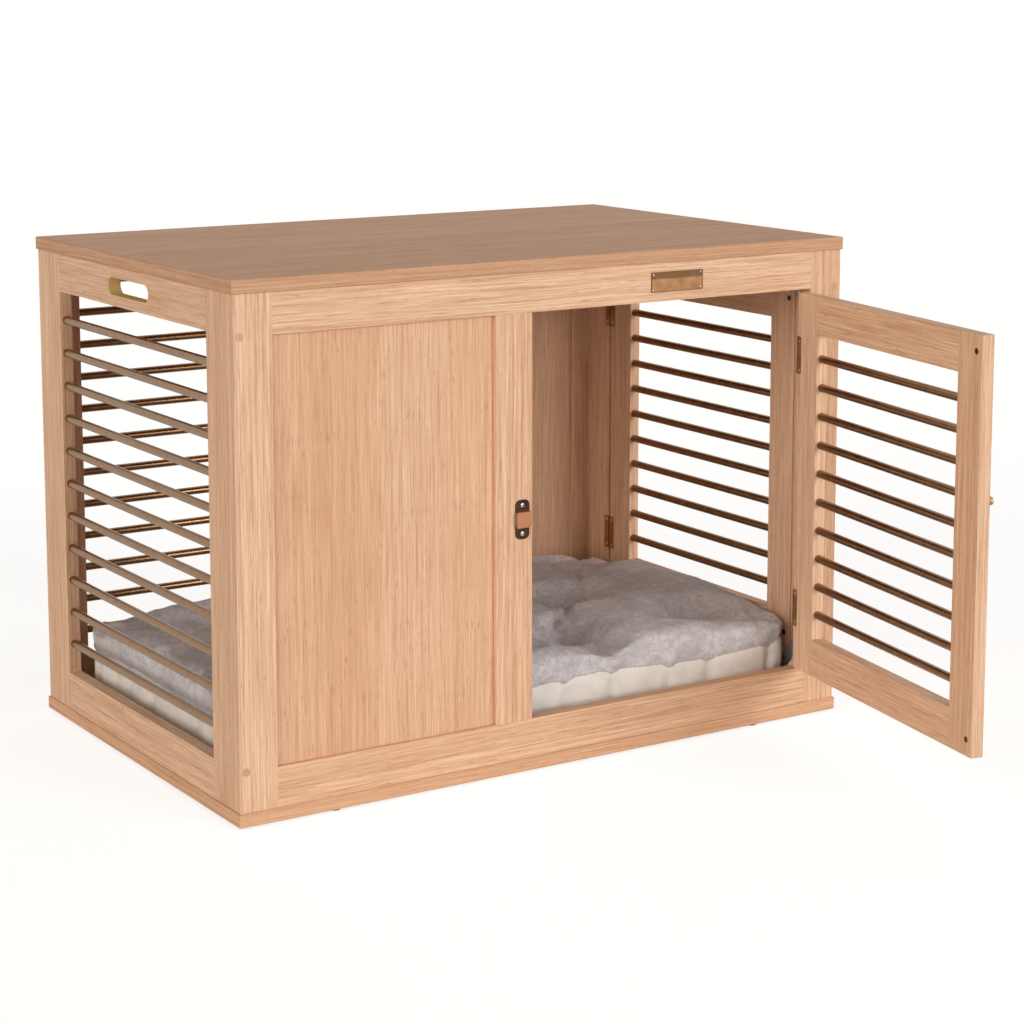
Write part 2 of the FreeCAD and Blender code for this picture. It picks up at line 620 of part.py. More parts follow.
# ---------------------------------------------------------------- slide bolts, keepers and knobs
# These stand on outer faces: XZ sketches look outwards, so their pads grow away from the wood.
DOOR_MIDDLE = f"({DOOR_HIGH} / 2)"
WAY_HIGH = "(bolt_wide + 2 * bolt_play)"
WAY_DEEP = "(bolt_thick + 2 * bolt_play)"
GUIDE_OUT = f"({WAY_DEEP} + guide_thick)"
KNOB_BACK = "(bolt_setback + bolt_knob_from_tip - guide_setback)"
FREE_EDGE = {"front_door": "(-doorway + 3 * door_gap / 2)",
             "side_door": f"(-{SIDE_DOORWAY} + 3 * door_gap / 2)"}


def block(body, name, lift, box, high):
    """An upright block on an outer face. box is left, low, width, height."""
    made = sketch_on(body, "XZ_Plane", name, lift)
    rectangle(made, *box)
    return pad(body, made, high)


def bolt_guide(name, side):
    """A stamped hat-section guide: two flanges screwed to the door, and a raised way for the bolt."""
    body = new_body(name)
    block(body, name + "_flange", "0", ("0", "0", "guide_long", "guide_high"), "guide_thick")
    hat_high = f"({WAY_HIGH} + 2 * guide_thick)"
    hat_low = f"((guide_high - {hat_high}) / 2)"
    block(body, name + "_hat", "0", ("0", hat_low, "guide_long", hat_high), GUIDE_OUT)
    way = sketch_on(body, "YZ_Plane", name + "_way", shift=f"-{WAY_DEEP}")
    rectangle(way, "0", f"({hat_low} + guide_thick)", WAY_DEEP, WAY_HIGH)
    pocket(body, way, "guide_long", forward=True)
    slot_wide = "(bolt_neck_wide + 2 * knob_slot_play)"
    slot = sketch_on(body, "XZ_Plane", name + "_slot", GUIDE_OUT)
    rectangle(slot, f"({KNOB_BACK} - bolt_travel)", f"((guide_high - {slot_wide}) / 2)", "bolt_travel",
              slot_wide)
    pocket(body, slot, "guide_thick")
    ends = sketch_on(body, "XZ_Plane", name + "_slot_ends", GUIDE_OUT)
    for x in (f"({KNOB_BACK} - bolt_travel)", KNOB_BACK):
        circle(ends, x, "(guide_high / 2)", slot_wide)
    pocket(body, ends, "guide_thick")
    place(body, side, f"({FREE_EDGE[side]} + guide_setback)", "pin_out", f"({DOOR_MIDDLE} - guide_high / 2)")
    return node(body, name)


def slide_bolt(name, side):
    """A flat bar with a rounded nose and a riveted thumb knob that travels in the guide's slot."""
    body = new_body(name)
    block(body, name + "_bar", "0", ("0", "0", "bolt_long", "bolt_wide"), "bolt_thick")
    for tag, wide, lift, high in (("neck", "bolt_neck_wide", "bolt_thick", f"({WAY_DEEP} + guide_thick)"),
                                  ("knob", "bolt_knob_wide", f"({WAY_DEEP} + guide_thick)", "bolt_knob_high")):
        turned = sketch_on(body, "XZ_Plane", f"{name}_{tag}", lift)
        circle(turned, "bolt_knob_from_tip", "(bolt_wide / 2)", wide)
        pad(body, turned, high)
    doc.recompute()
    nose = [n for n in edges_along(body.Tip.Shape, Vector(0, 1, 0))
            if body.Tip.Shape.getElement(n).BoundBox.XMax < 1e-6]
    dress(body, "Fillet", "Radius", "(bolt_wide / 4)", nose)
    place(body, side, f"({FREE_EDGE[side]} + bolt_setback)", "(pin_out - bolt_play)",
          f"({DOOR_MIDDLE} - bolt_wide / 2)")
    return node(body, name)


def keeper(name, side, edge):
    """The keeper: a round-cornered plate whose middle is pressed up into a bridge for the bolt."""
    body = new_body(name)
    block(body, name + "_plate", "0", ("0", "0", "keeper_wide", "keeper_high"), "keeper_thick")
    round_upright(body, Vector(0, 1, 0), "keeper_corner")
    way_high = "(bolt_wide + 2 * bridge_play)"
    bridge_high = f"({way_high} + 2 * keeper_thick)"
    bridge_low = f"((keeper_high - {bridge_high}) / 2)"
    block(body, name + "_bridge", "0", ("0", bridge_low, "keeper_wide", bridge_high),
          "(keeper_lift + keeper_thick)")
    way = sketch_on(body, "YZ_Plane", name + "_way", shift="-keeper_lift")
    rectangle(way, "0", f"({bridge_low} + keeper_thick)", "keeper_lift", way_high)
    pocket(body, way, "keeper_wide", forward=True)
    place(body, side, f"({edge} - keeper_setback - keeper_wide)", "0", "(frame_high / 2 - keeper_high / 2)")
    return node(body, name)


def pull_knob(name, side):
    """A turned pull: a low base, a slim neck and a head that flares out and ends in a bevelled crown."""
    flare, crown = "(knob_wide / 3)", "(knob_wide / 8)"
    neck_top = f"(knob_out - knob_band - {flare} - {crown})"
    parts = [cylinder(name + "_base", "knob_base_wide", "knob_base_high"),
             cylinder(name + "_neck", "knob_neck", neck_top)]
    for tag, low, wide, top_wide, high in (
            ("flare", neck_top, "knob_neck", "knob_wide", flare),
            ("band", f"({neck_top} + {flare})", "knob_wide", "knob_wide", "knob_band"),
            ("crown", f"(knob_out - {crown})", "knob_wide", f"(knob_wide - 2 * {crown})", crown)):
        if tag == "band":
            piece = cylinder(f"{name}_{tag}", wide, high)
        else:
            piece = doc.addObject("Part::Cone", f"{name}_{tag}")
            bind(piece, "Radius1", f"({wide}) / 2")
            bind(piece, "Radius2", f"({top_wide}) / 2")
            bind(piece, "Height", high)
        bind(piece, "Placement.Base.z", low)
        parts.append(piece)
    made = doc.addObject("Part::MultiFuse", name + "_turned")
    made.Shapes = parts
    made.Placement = Placement(Vector(), Rotation(Vector(1, 0, 0), 90))
    standing = doc.addObject("Part::Compound", name)
    standing.Links = [made]
    place(standing, side, f"({FREE_EDGE[side]} + knob_inset)", "pin_out", f"({DOOR_MIDDLE} + knob_rise)")
    return node(standing, name)


for door_side in ("front_door", "side_door"):
    short = door_side.replace("_door", "")
    bolt_guide(f"{short}_bolt_guide", door_side)
    slide_bolt(f"{short}_bolt", door_side)
    pull_knob(f"{door_side}_knob", door_side)
keeper("front_keeper", "front", f"(corner_stile + {PANEL_WIDE} + mid_stile)")
keeper("side_keeper", "right", "side_stile")


# ---------------------------------------------------------------- name plate and door stops
def name_plate():
    """A thin plain plate with soft corners, over the doorway."""
    body = new_body("name_plate")
    block(body, "name_plate_blank", "0", ("0", "0", "plate_long", "plate_high"), "plate_thick")
    round_upright(body, Vector(0, 1, 0), "plate_corner")
    middle = f"({FRAME_LONG} - corner_stile - doorway / 2)"
    place(body, "front", f"({middle} - plate_long / 2)", "0", "(frame_high - rail_wide / 2 - plate_high / 2)")
    return node(body, "name_plate")


def triangle(sketch, leg, right, top):
    """A right-angled outline with its square corner at one corner of a leg-sized square."""
    spots = [Vector(20 * right, 20 * top, 0), Vector(20 * (1 - right), 20 * top, 0),
             Vector(20 * right, 20 * (1 - top), 0)]
    for i in range(3):
        sketch.addGeometry(Part.LineSegment(spots[i], spots[(i + 1) % 3]))
    for i in range(3):
        sketch.addConstraint(Sketcher.Constraint("Coincident", i, 2, (i + 1) % 3, 1))
    fix(sketch, "X", 0, 1, leg if right else "0")
    fix(sketch, "Y", 0, 1, leg if top else "0")
    fix(sketch, "X", 1, 1, "0" if right else leg)
    fix(sketch, "Y", 1, 1, leg if top else "0")
    fix(sketch, "X", 2, 1, leg if right else "0")
    fix(sketch, "Y", 2, 1, "0" if top else leg)


def door_stop(name, side, x, z, right, top):
    """A steel triangle screwed behind a doorway's corner: its long edge stops the closing door."""
    body = new_body(name)
    outline = sketch_on(body, "XZ_Plane", name + "_outline")
    triangle(outline, "stop_leg", right, top)
    pad(body, outline, "stop_thick")
    place(body, side, x, "(frame_thick + stop_thick)", z)
    return body


def door_stops(side, low_x, high_x):
    stops = []
    for right, x in ((0, f"({low_x} - stop_back)"), (1, f"({high_x} + stop_back - stop_leg)")):
        for top, z in ((0, "(rail_wide - stop_back)"), (1, "(frame_high - rail_wide + stop_back - stop_leg)")):
            stops.append(door_stop(f"{side}_stop_{right}{top}", side, x, z, right, top))
    return stops


name_plate()
group("front_door_stops", door_stops("front", f"({FRAME_LONG} - corner_stile - doorway)",
                                     f"({FRAME_LONG} - corner_stile)"))
group("side_door_stops", door_stops("right", "side_stile", f"({SIDE_LONG} - side_stile)"))


# ---------------------------------------------------------------- knock-down fittings
def screw(name, shank_wide, shank_long, head_wide, head_high, countersunk):
    """A screw that points along +z from its head's outer face."""
    shank = cylinder(name + "_shank", shank_wide, shank_long)
    if countersunk:
        head = doc.addObject("Part::Cone", name + "_head")
        bind(head, "Radius1", f"{head_wide} / 2")
        bind(head, "Radius2", f"{shank_wide} / 2")
        bind(head, "Height", head_high)
    else:
        head = cylinder(name + "_head", head_wide, head_high)
    made = doc.addObject("Part::Fuse", name)
    made.Base = head
    made.Tool = shank
    return made


def laid(name, thing, turn):
    """A piece turned before its side's own placement."""
    thing.Placement = Placement(Vector(), turn)
    made = doc.addObject("Part::Compound", name)
    made.Links = [thing]
    return made


INWARDS = Rotation(Vector(1, 0, 0), -90)


def frame_fixings():
    """Long screws through the corner uprights into the side frames, and the caps over their heads."""
    screws, caps = [], []
    for side in ("front", "back"):
        for x in ("(frame_thick / 2)", f"({FRAME_LONG} - frame_thick / 2)"):
            for z in ("frame_screw_inset", "(frame_high - frame_screw_inset)"):
                tag = f"{side}_{len(screws)}"
                made = screw(f"frame_screw_{tag}", "frame_screw_wide", "(frame_screw_long - cap_deep)",
                             "head_wide", "head_high", False)
                turned = laid(f"frame_screw_{tag}_laid", made, INWARDS)
                place(turned, side, x, "(cap_deep - head_high)", z)
                screws.append(turned)
                cap = laid(f"cap_{tag}_laid", cylinder(f"cap_{tag}", "cap_wide", "(cap_high + cap_proud)"),
                           INWARDS)
                place(cap, side, x, "-cap_proud", z)
                caps.append(cap)
    group("frame_screws", screws)
    group("screw_caps", caps)


def cam_fixings():
    """Cam locks in the top rails and the steel bolts that hang from the top into them."""
    cams, bolts = [], []
    totals = {"front": FRAME_LONG, "back": FRAME_LONG, "left": SIDE_LONG, "right": SIDE_LONG}
    for side, x in rail_points(ALL_SIDES, "cam_inset"):
        tag = f"{side}_{len(cams)}"
        disc = cylinder(f"cam_{tag}_disc", "cam_wide", "cam_long")
        way = cylinder(f"cam_{tag}_way", "(cam_bolt_wide + 2 * cam_play)", "cam_wide")
        way.Placement = Placement(Vector(), Rotation(Vector(1, 0, 0), 90))
        bind(way, "Placement.Base.z", "frame_thick / 2 - frame_thick + cam_long")
        cut = doc.addObject("Part::Cut", f"cam_{tag}")
        cut.Base, cut.Tool = disc, way
        turned = laid(f"cam_{tag}_laid", cut, INWARDS)
        place(turned, side, x, "(frame_thick - cam_long)", "(frame_high - cam_drop)")
        cams.append(turned)
        bolt = cylinder(f"cam_bolt_{tag}", "cam_bolt_wide", "(cam_drop + cam_bolt_into_top)")
        place(bolt, side, x, "(frame_thick / 2)", "(frame_high - cam_drop)")
        bolts.append(bolt)
    group("cam_locks", cams)
    group("cam_bolts", bolts)


def base_screws():
    screws = []
    for side, x in rail_points(ALL_SIDES, "cam_inset"):
        made = screw(f"base_screw_{side}_{len(screws)}", "base_screw_wide", "base_screw_long",
                     "base_head_wide", "base_head_high", False)
        place(made, side, x, "(frame_thick / 2)", "(-base_thick)")
        screws.append(made)
    group("base_screws", screws)


frame_fixings()
cam_fixings()
base_screws()


# ---------------------------------------------------------------- cushion
def cushion():
    """The filled pad: a full rectangle with round corners, a crowned top edge and a tucked foot."""
    body = new_body("cushion")
    outline = sketch_on(body, "XY_Plane", "cushion_outline")
    rectangle(outline, "0", "0", CUSHION_LONG, CUSHION_DEEP)
    pad(body, outline, "cushion_high")
    round_upright(body, Vector(0, 0, 1), "cushion_corner")
    for end, kind, prop, size in (("ZMax", "Fillet", "Radius", "cushion_top_round"),
                                  ("ZMin", "Chamfer", "Size", "cushion_foot_tuck")):
        doc.recompute()
        shape = body.Tip.Shape
        level = getattr(shape.BoundBox, end)
        rim = [f"Edge{i}" for i, edge in enumerate(shape.Edges, start=1)
               if abs(edge.BoundBox.ZMin - level) < 1e-6 and abs(edge.BoundBox.ZMax - level) < 1e-6]
        dress(body, kind, prop, size, rim)
    place(body, "cabinet", f"-{CUSHION_LONG} / 2", f"-{CUSHION_DEEP} / 2", f"({BASE_TOP} + cushion_clear)")
    return node(body, "cushion")


cushion()


# ---------------------------------------------------------------- checks and files
doc.recompute()
failed = [o.Label for o in doc.Objects if "Invalid" in o.State or "Error" in o.State]
for label, made in NODES.items():
    if made.Shape.isNull() or not made.Shape.isValid() or not made.Shape.Solids:
        failed.append(label)
if failed:
    raise RuntimeError(f"these pieces failed: {failed}")
os.makedirs("parts", exist_ok=True)
for label, made in NODES.items():
    made.Shape.exportStep(f"parts/{label}.step")
print(len(NODES), "nodes,", sum(len(made.Shape.Solids) for made in NODES.values()), "solids")
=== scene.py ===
"""Dog crate end table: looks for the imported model, in metres, in the model's own frame."""
import json
import math
import bmesh
import bpy
from mathutils import Euler, Matrix, Vector, noise


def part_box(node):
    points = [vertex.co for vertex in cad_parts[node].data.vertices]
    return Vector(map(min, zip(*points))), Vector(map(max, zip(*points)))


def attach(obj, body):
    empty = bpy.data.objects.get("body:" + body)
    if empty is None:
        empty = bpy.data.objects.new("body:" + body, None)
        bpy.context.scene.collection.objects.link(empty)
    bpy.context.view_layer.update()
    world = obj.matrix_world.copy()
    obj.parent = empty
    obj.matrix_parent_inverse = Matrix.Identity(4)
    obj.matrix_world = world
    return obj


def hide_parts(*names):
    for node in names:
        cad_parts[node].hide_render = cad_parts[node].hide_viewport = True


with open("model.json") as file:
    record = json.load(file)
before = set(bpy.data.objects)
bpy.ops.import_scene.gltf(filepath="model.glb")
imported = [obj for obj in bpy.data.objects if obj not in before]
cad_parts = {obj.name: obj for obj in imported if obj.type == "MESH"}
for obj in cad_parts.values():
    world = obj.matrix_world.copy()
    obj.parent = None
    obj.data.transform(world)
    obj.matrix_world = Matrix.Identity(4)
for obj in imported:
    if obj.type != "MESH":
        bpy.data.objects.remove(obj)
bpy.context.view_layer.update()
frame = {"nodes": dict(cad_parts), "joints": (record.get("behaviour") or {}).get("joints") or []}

scene = bpy.context.scene


# ---------------------------------------------------------------- oak boards
# Every board of the carcass and the doors is oak-veneered furniture board under a thin satin
# lacquer, glued up by mortise and tenon. Each one shows its own figure, along its own length.
def new_group(name, inputs, outputs):
    tree = bpy.data.node_groups.new(name, "ShaderNodeTree")
    for label, kind, value in inputs:
        socket = tree.interface.new_socket(label, in_out="INPUT", socket_type=kind)
        if value is not None:
            socket.default_value = value
    for label, kind in outputs:
        tree.interface.new_socket(label, in_out="OUTPUT", socket_type=kind)
    start = tree.nodes.new("NodeGroupInput")
    end = tree.nodes.new("NodeGroupOutput")
    return tree, start, end


class Wires:
    """Short calls that add and join nodes in one tree."""

    def __init__(self, tree):
        self.tree = tree

    def add(self, kind, **settings):
        made = self.tree.nodes.new("ShaderNode" + kind)
        for name, value in settings.items():
            setattr(made, name, value)
        return made

    def feed(self, socket, value):
        if isinstance(value, bpy.types.NodeSocket):
            self.tree.links.new(value, socket)
        else:
            socket.default_value = value

    def math(self, operation, *values):
        made = self.add("Math", operation=operation)
        for socket, value in zip(made.inputs, values):
            self.feed(socket, value)
        return made.outputs[0]

    def vector(self, operation, *values):
        made = self.add("VectorMath", operation=operation)
        for socket, value in zip(made.inputs, values):
            self.feed(socket, value)
        return made.outputs["Value" if operation == "LENGTH" else "Vector"]

    def split(self, vector):
        made = self.add("SeparateXYZ")
        self.feed(made.inputs[0], vector)
        return made.outputs

    def join(self, x, y, z):
        made = self.add("CombineXYZ")
        for socket, value in zip(made.inputs, (x, y, z)):
            self.feed(socket, value)
        return made.outputs[0]

    def noise(self, vector, scale, detail=2.0, roughness=0.5, distortion=0.0):
        made = self.add("TexNoise")
        for label, value in (("Vector", vector), ("Scale", scale), ("Detail", detail),
                             ("Roughness", roughness), ("Distortion", distortion)):
            self.feed(made.inputs[label], value)
        return made.outputs["Fac"]

    def range(self, value, low, high, to_low=0.0, to_high=1.0):
        made = self.add("MapRange")
        for socket, given in zip(made.inputs, (value, low, high, to_low, to_high)):
            self.feed(socket, given)
        return made.outputs[0]

    def mix(self, factor, a, b):
        made = self.add("Mix", data_type="RGBA")
        for socket, value in ((made.inputs[0], factor), (made.inputs[6], a), (made.inputs[7], b)):
            self.feed(socket, value)
        return made.outputs[2]

    def group(self, tree, **values):
        made = self.add("Group", node_tree=tree)
        for label, value in values.items():
            self.feed(made.inputs[label.replace("_", " ")], value)
        return made.outputs


def linear(*screen):
    """A colour in the shader's own linear values, from its three 0-255 screen values."""
    return tuple(((v / 255 + 0.055) / 1.055) ** 2.4 if v > 10 else v / 3295 for v in screen) + (1.0,)


def new_material(name):
    made = bpy.data.materials.new(name)
    made.use_nodes = True
    shader = made.node_tree.nodes["Principled BSDF"]
    return made, Wires(made.node_tree), shader


def relief(w, shader, height, strength, distance, smooth_edges=None):
    """Feeds a height to the shader as a bump."""
    bump = w.add("Bump")
    bump.inputs["Strength"].default_value = strength
    bump.inputs["Distance"].default_value = distance
    w.feed(bump.inputs["Height"], height)
    if smooth_edges is not None:
        w.feed(bump.inputs["Normal"], smooth_edges)
    w.feed(shader.inputs["Normal"], bump.outputs[0])


# Oak figure, in a board's own directions: x across it, y through it, z along the grain. A leaf of
# veneer cuts the tree's rings round a heart that lies near its face and leans along the board.
RINGS_PER_METRE = 290.0
RING_WAVE = 0.0045
HEART_DRIFT = 0.06
HEART_LEAN = 0.08
HEART_WANDER = 0.055
oak_figure, start, end = new_group(
    "oak_figure",
    [("Vector", "NodeSocketVector", None), ("Leaf Width", "NodeSocketFloat", 0.1),
     ("Seed", "NodeSocketFloat", 0.0)],
    [("Rings", "NodeSocketFloat"), ("Fibre", "NodeSocketFloat"), ("Pores", "NodeSocketFloat"),
     ("Tone", "NodeSocketFloat")])
w = Wires(oak_figure)
x, y, z = w.split(start.outputs["Vector"])[0:3]
leaf = w.math("FLOOR", w.math("DIVIDE", x, start.outputs["Leaf Width"]))
chance = w.add("TexWhiteNoise", noise_dimensions="2D")
w.feed(chance.inputs["Vector"], w.join(leaf, start.outputs["Seed"], 0.0))
chances = w.split(chance.outputs["Color"])
middle_x = w.math("MULTIPLY", w.math("ADD", leaf, 0.5), start.outputs["Leaf Width"])
heart_x = w.math("MULTIPLY", w.math("SUBTRACT", chances[0], 0.5), HEART_DRIFT)
leaf_x = w.math("SUBTRACT", w.math("SUBTRACT", x, middle_x), heart_x)
leaf_z = w.math("ADD", z, w.math("ADD", w.math("MULTIPLY", chances[1], 9.0), start.outputs["Seed"]))
slow_place = w.join(leaf_x, y, w.math("MULTIPLY", leaf_z, 1.1))
slow = w.noise(slow_place, 1.0, 1.0, 0.4)
wavy_place = w.join(w.math("MULTIPLY", leaf_x, 12.0), y, w.math("MULTIPLY", leaf_z, 6.0))
wavy = w.noise(wavy_place, 1.0, 1.0, 0.5)
lean = w.math("MULTIPLY", w.math("SUBTRACT", chances[1], 0.5), HEART_LEAN)
depth = w.math("ADD", w.math("ADD", w.math("ABSOLUTE", y), w.math("MULTIPLY", z, lean)),
               w.math("ADD", w.math("MULTIPLY", w.math("SUBTRACT", slow, 0.5), HEART_WANDER), 0.004))
reach = w.math("ADD", w.vector("LENGTH", w.join(leaf_x, depth, 0.0)),
               w.math("MULTIPLY", w.math("SUBTRACT", wavy, 0.5), RING_WAVE))
rings = w.math("FRACT", w.math("MULTIPLY", reach, RINGS_PER_METRE))
steep = w.math("DIVIDE", w.math("ABSOLUTE", leaf_x), w.math("ADD", w.math("ABSOLUTE", reach), 0.002))
late_wood = w.math("POWER", rings, 2.6)
w.feed(end.inputs["Rings"], w.math("MULTIPLY", late_wood, w.range(steep, 0.1, 0.8, 0.22, 1.0)))
own_stretch = w.join(0.0, 0.0, w.math("MULTIPLY", start.outputs["Seed"], 1.37))
placed = w.vector("ADD", start.outputs["Vector"], own_stretch)
long_fibre = w.vector("MULTIPLY", placed, (1.0, 1.0, 0.018))
w.feed(end.inputs["Fibre"], w.math("ADD", w.math("MULTIPLY", w.noise(long_fibre, 560.0, 2.0, 0.6), 0.65),
                                   w.math("MULTIPLY", w.noise(long_fibre, 190.0, 2.0, 0.5), 0.35)))
dashes = w.noise(w.vector("MULTIPLY", placed, (1.0, 1.0, 0.06)), 900.0, 1.0, 0.5)
early_wood = w.range(rings, 0.0, 0.5, 1.0, 0.3)
w.feed(end.inputs["Pores"], w.math("MULTIPLY", w.range(dashes, 0.56, 0.68), early_wood))
drift = w.noise(w.vector("MULTIPLY", placed, (1.0, 1.0, 0.2)), 9.0, 2.0, 0.5)
w.feed(end.inputs["Tone"], w.math("ADD", w.math("MULTIPLY", chances[2], 0.6), w.math("MULTIPLY", drift, 0.4)))

OAK_PALE = linear(240, 205, 176)
OAK_WARM = linear(226, 183, 149)
OAK_RING = linear(196, 146, 110)
OAK_PORE = linear(150, 100, 70)
OAK_RAW = linear(228, 200, 140)
EDGE_EASE = 0.0008
SLOT_HALF_LONG = 0.053
SLOT_RADIUS = 0.0123
PANEL_LEAF = 0.098
TOP_LEAF = 0.104
RAIL_LEAF = 0.35
X, Y, Z = Vector((1, 0, 0)), Vector((0, 1, 0)), Vector((0, 0, 1))


def oak(name, along, through, seed, leaf_width=RAIL_LEAF, pale=0.25, painted_shade=0.0, slot_height=None,
        banded=False):
    """One board's oak: along and through are its grain and its thickness directions.

    slot_height is where a hand hole shows raw wood. banded gives the short edges their own strip.
    """
    across = through.cross(along)
    turn = Matrix((across, through, along)).to_euler("XYZ")
    material, w, shader = new_material("oak_" + name)
    place = w.add("TexCoord").outputs["Object"]
    board = w.add("Mapping")
    w.feed(board.inputs["Vector"], place)
    board.inputs["Rotation"].default_value = turn
    board.inputs["Location"].default_value = (0.021 * (seed % 5), 0.0, 0.0)
    vector = board.outputs[0]
    if banded:
        band = w.add("Mapping")
        w.feed(band.inputs["Vector"], place)
        band.inputs["Rotation"].default_value = Matrix((Z, X, Y)).to_euler("XYZ")
        end_face = w.math("ABSOLUTE", w.split(w.add("TexCoord").outputs["Normal"])[0])
        choose = w.add("Mix", data_type="VECTOR")
        w.feed(choose.inputs[0], w.math("GREATER_THAN", end_face, 0.7))
        w.feed(choose.inputs[4], vector)
        w.feed(choose.inputs[5], band.outputs[0])
        vector = choose.outputs[1]
    grain = w.group(oak_figure, Vector=vector, Leaf_Width=leaf_width, Seed=float(seed))
    colour = w.mix(w.math("SUBTRACT", grain["Tone"], pale), OAK_PALE, OAK_WARM)
    colour = w.mix(w.math("MULTIPLY", grain["Rings"], 0.38), colour, OAK_RING)
    colour = w.mix(w.range(grain["Fibre"], 0.38, 0.64, 0.0, 0.78), colour, OAK_RING)
    colour = w.mix(w.math("MULTIPLY", grain["Pores"], 0.45), colour, OAK_PORE)
    # Painted shade: the whole colour is darkened towards the pore colour.
    if painted_shade:
        colour = w.mix(painted_shade, colour, OAK_PORE)
    if slot_height:
        slot_y, slot_z = w.split(place)[1:3]
        past = w.math("MAXIMUM", w.math("SUBTRACT", w.math("ABSOLUTE", slot_y), SLOT_HALF_LONG), 0.0)
        rise = w.math("SUBTRACT", slot_z, slot_height)
        ring = w.vector("LENGTH", w.join(past, rise, 0.0))
        raw = w.math("LESS_THAN", ring, SLOT_RADIUS)
        colour = w.mix(raw, colour, OAK_RAW)
    w.feed(shader.inputs["Base Color"], colour)
    w.feed(shader.inputs["Roughness"], w.range(grain["Fibre"], 0.3, 0.7, 0.46, 0.60))
    shader.inputs["Specular IOR Level"].default_value = 0.07
    eased = w.add("Bevel", samples=4)
    eased.inputs["Radius"].default_value = EDGE_EASE
    height = w.math("SUBTRACT", w.math("MULTIPLY", grain["Fibre"], 0.5), grain["Pores"])
    relief(w, shader, height, 0.25, 0.0003, eased.outputs[0])
    return material


def dress(node_name, material):
    """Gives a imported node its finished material."""
    slots = frame["nodes"][node_name].data.materials
    if not slots:
        slots.append(material)
    for i in range(len(slots)):
        frame["nodes"][node_name].material_slots[i].material = material


FRONT_DOOR_OPEN = 80
front_turn = Matrix.Rotation(math.radians(FRONT_DOOR_OPEN), 3, "Z")
hand_hole_height = sum(corner[2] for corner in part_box("left_top_rail")) / 2
# The directions of each side: along its rails, and through its boards.
SIDES = {"front": (X, Y), "back": (X, Y), "left": (Y, X), "right": (Y, X), "side": (Y, X)}
seed = 0
for node_name in sorted(frame["nodes"]):
    run, through = SIDES.get(node_name.split("_")[0], (X, Z))
    if node_name.startswith("front_door_"):
        run, through = front_turn @ X, front_turn @ Y
    if node_name == "table_top":
        # The table top's colour is darkened all over as painted shade.
        material = oak(node_name, X, Z, seed, leaf_width=TOP_LEAF, pale=-0.3, painted_shade=0.30, banded=True)
    elif node_name == "base_board":
        material = oak(node_name, X, Z, seed, leaf_width=TOP_LEAF, pale=-0.3, banded=True)
    elif node_name.endswith("_panel"):
        material = oak(node_name, Z, Y, seed, leaf_width=PANEL_LEAF, pale=-0.15)
    elif node_name.endswith("_stile"):
        material = oak(node_name, Z, through, seed)
    elif node_name in ("left_top_rail", "right_top_rail"):
        material = oak(node_name, run, through, seed, slot_height=hand_hole_height)
    elif node_name.endswith("_rail"):
        material = oak(node_name, run, through, seed)
    else:
        continue
    seed += 1
    dress(node_name, material)


# ---------------------------------------------------------------- grille rods
# Round steel rods in a satin bronze lacquer, pushed into blind holes of the uprights. Each grille is
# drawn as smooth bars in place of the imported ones, a little stouter, as the photograph shows them.
metal_wear, start, end = new_group(
    "metal_wear",
    [("Vector", "NodeSocketVector", None), ("Scale", "NodeSocketFloat", 60.0)],
    [("Cloud", "NodeSocketFloat"), ("Grit", "NodeSocketFloat")])
w = Wires(metal_wear)
w.feed(end.inputs["Cloud"], w.noise(start.outputs["Vector"], start.outputs["Scale"], 3.0, 0.55))
grit_scale = w.math("MULTIPLY", start.outputs["Scale"], 30.0)
w.feed(end.inputs["Grit"], w.noise(start.outputs["Vector"], grit_scale, 2.0, 0.6))


def metal(name, dark, light, roughness=0.3, spread=0.12, scale=60.0, raised=None, metallic=1.0, grit=0.03):
    """A satin finish with a cloudy tone.

    raised is (axis, value, colour): what lies beyond that value is given that colour, a painted highlight.
    """
    material, w, shader = new_material(name)
    place = w.add("TexCoord").outputs["Object"]
    wear = w.group(metal_wear, Vector=place, Scale=scale)
    colour = w.mix(w.range(wear["Cloud"], 0.3, 0.7), dark, light)
    if raised:
        # Painted highlight: the proud part takes the given colour.
        axis, value, painted_highlight = raised
        proud = w.split(place)["XYZ".index(axis)]
        over = w.math("GREATER_THAN" if value > 0 else "LESS_THAN", proud, value)
        colour = w.mix(over, colour, painted_highlight)
    w.feed(shader.inputs["Base Color"], colour)
    shader.inputs["Metallic"].default_value = metallic
    smoothest, roughest = roughness - spread / 2, roughness + spread / 2
    w.feed(shader.inputs["Roughness"], w.range(wear["Cloud"], 0.3, 0.7, smoothest, roughest))
    relief(w, shader, wear["Grit"], grit, 0.0001)
    return material


def finished(name, bm, materials, body, replaced=(), sharp=None):
    """Turns a bmesh into a smooth piece that rides on a body. sharp is the least angle of a crisp edge."""
    bmesh.ops.recalc_face_normals(bm, faces=bm.faces)
    mesh = bpy.data.meshes.new(name)
    bm.to_mesh(mesh)
    bm.free()
    for polygon in mesh.polygons:
        polygon.use_smooth = True
    if sharp:
        mesh.set_sharp_from_angle(angle=math.radians(sharp))
    made = bpy.data.objects.new(name, mesh)
    scene.collection.objects.link(made)
    for material in materials:
        mesh.materials.append(material)
    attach(made, body)
    if replaced:
        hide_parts(*replaced)


def turned(bm, profile, place, steps=24):
    """Spins (radius, height) points round the z axis and sets the form down with a matrix."""
    before = set(bm.verts)
    spots = [bm.verts.new((radius, 0.0, height)) for radius, height in profile]
    edges = [bm.edges.new(pair) for pair in zip(spots, spots[1:])]
    bmesh.ops.spin(bm, geom=spots + edges, cent=(0, 0, 0), axis=(0, 0, 1), angle=math.tau, steps=steps,
                   use_merge=True)
    made = [v for v in bm.verts if v not in before]
    bmesh.ops.remove_doubles(bm, verts=made, dist=1e-7)
    made = [v for v in bm.verts if v not in before]
    bmesh.ops.transform(bm, matrix=place, verts=made)


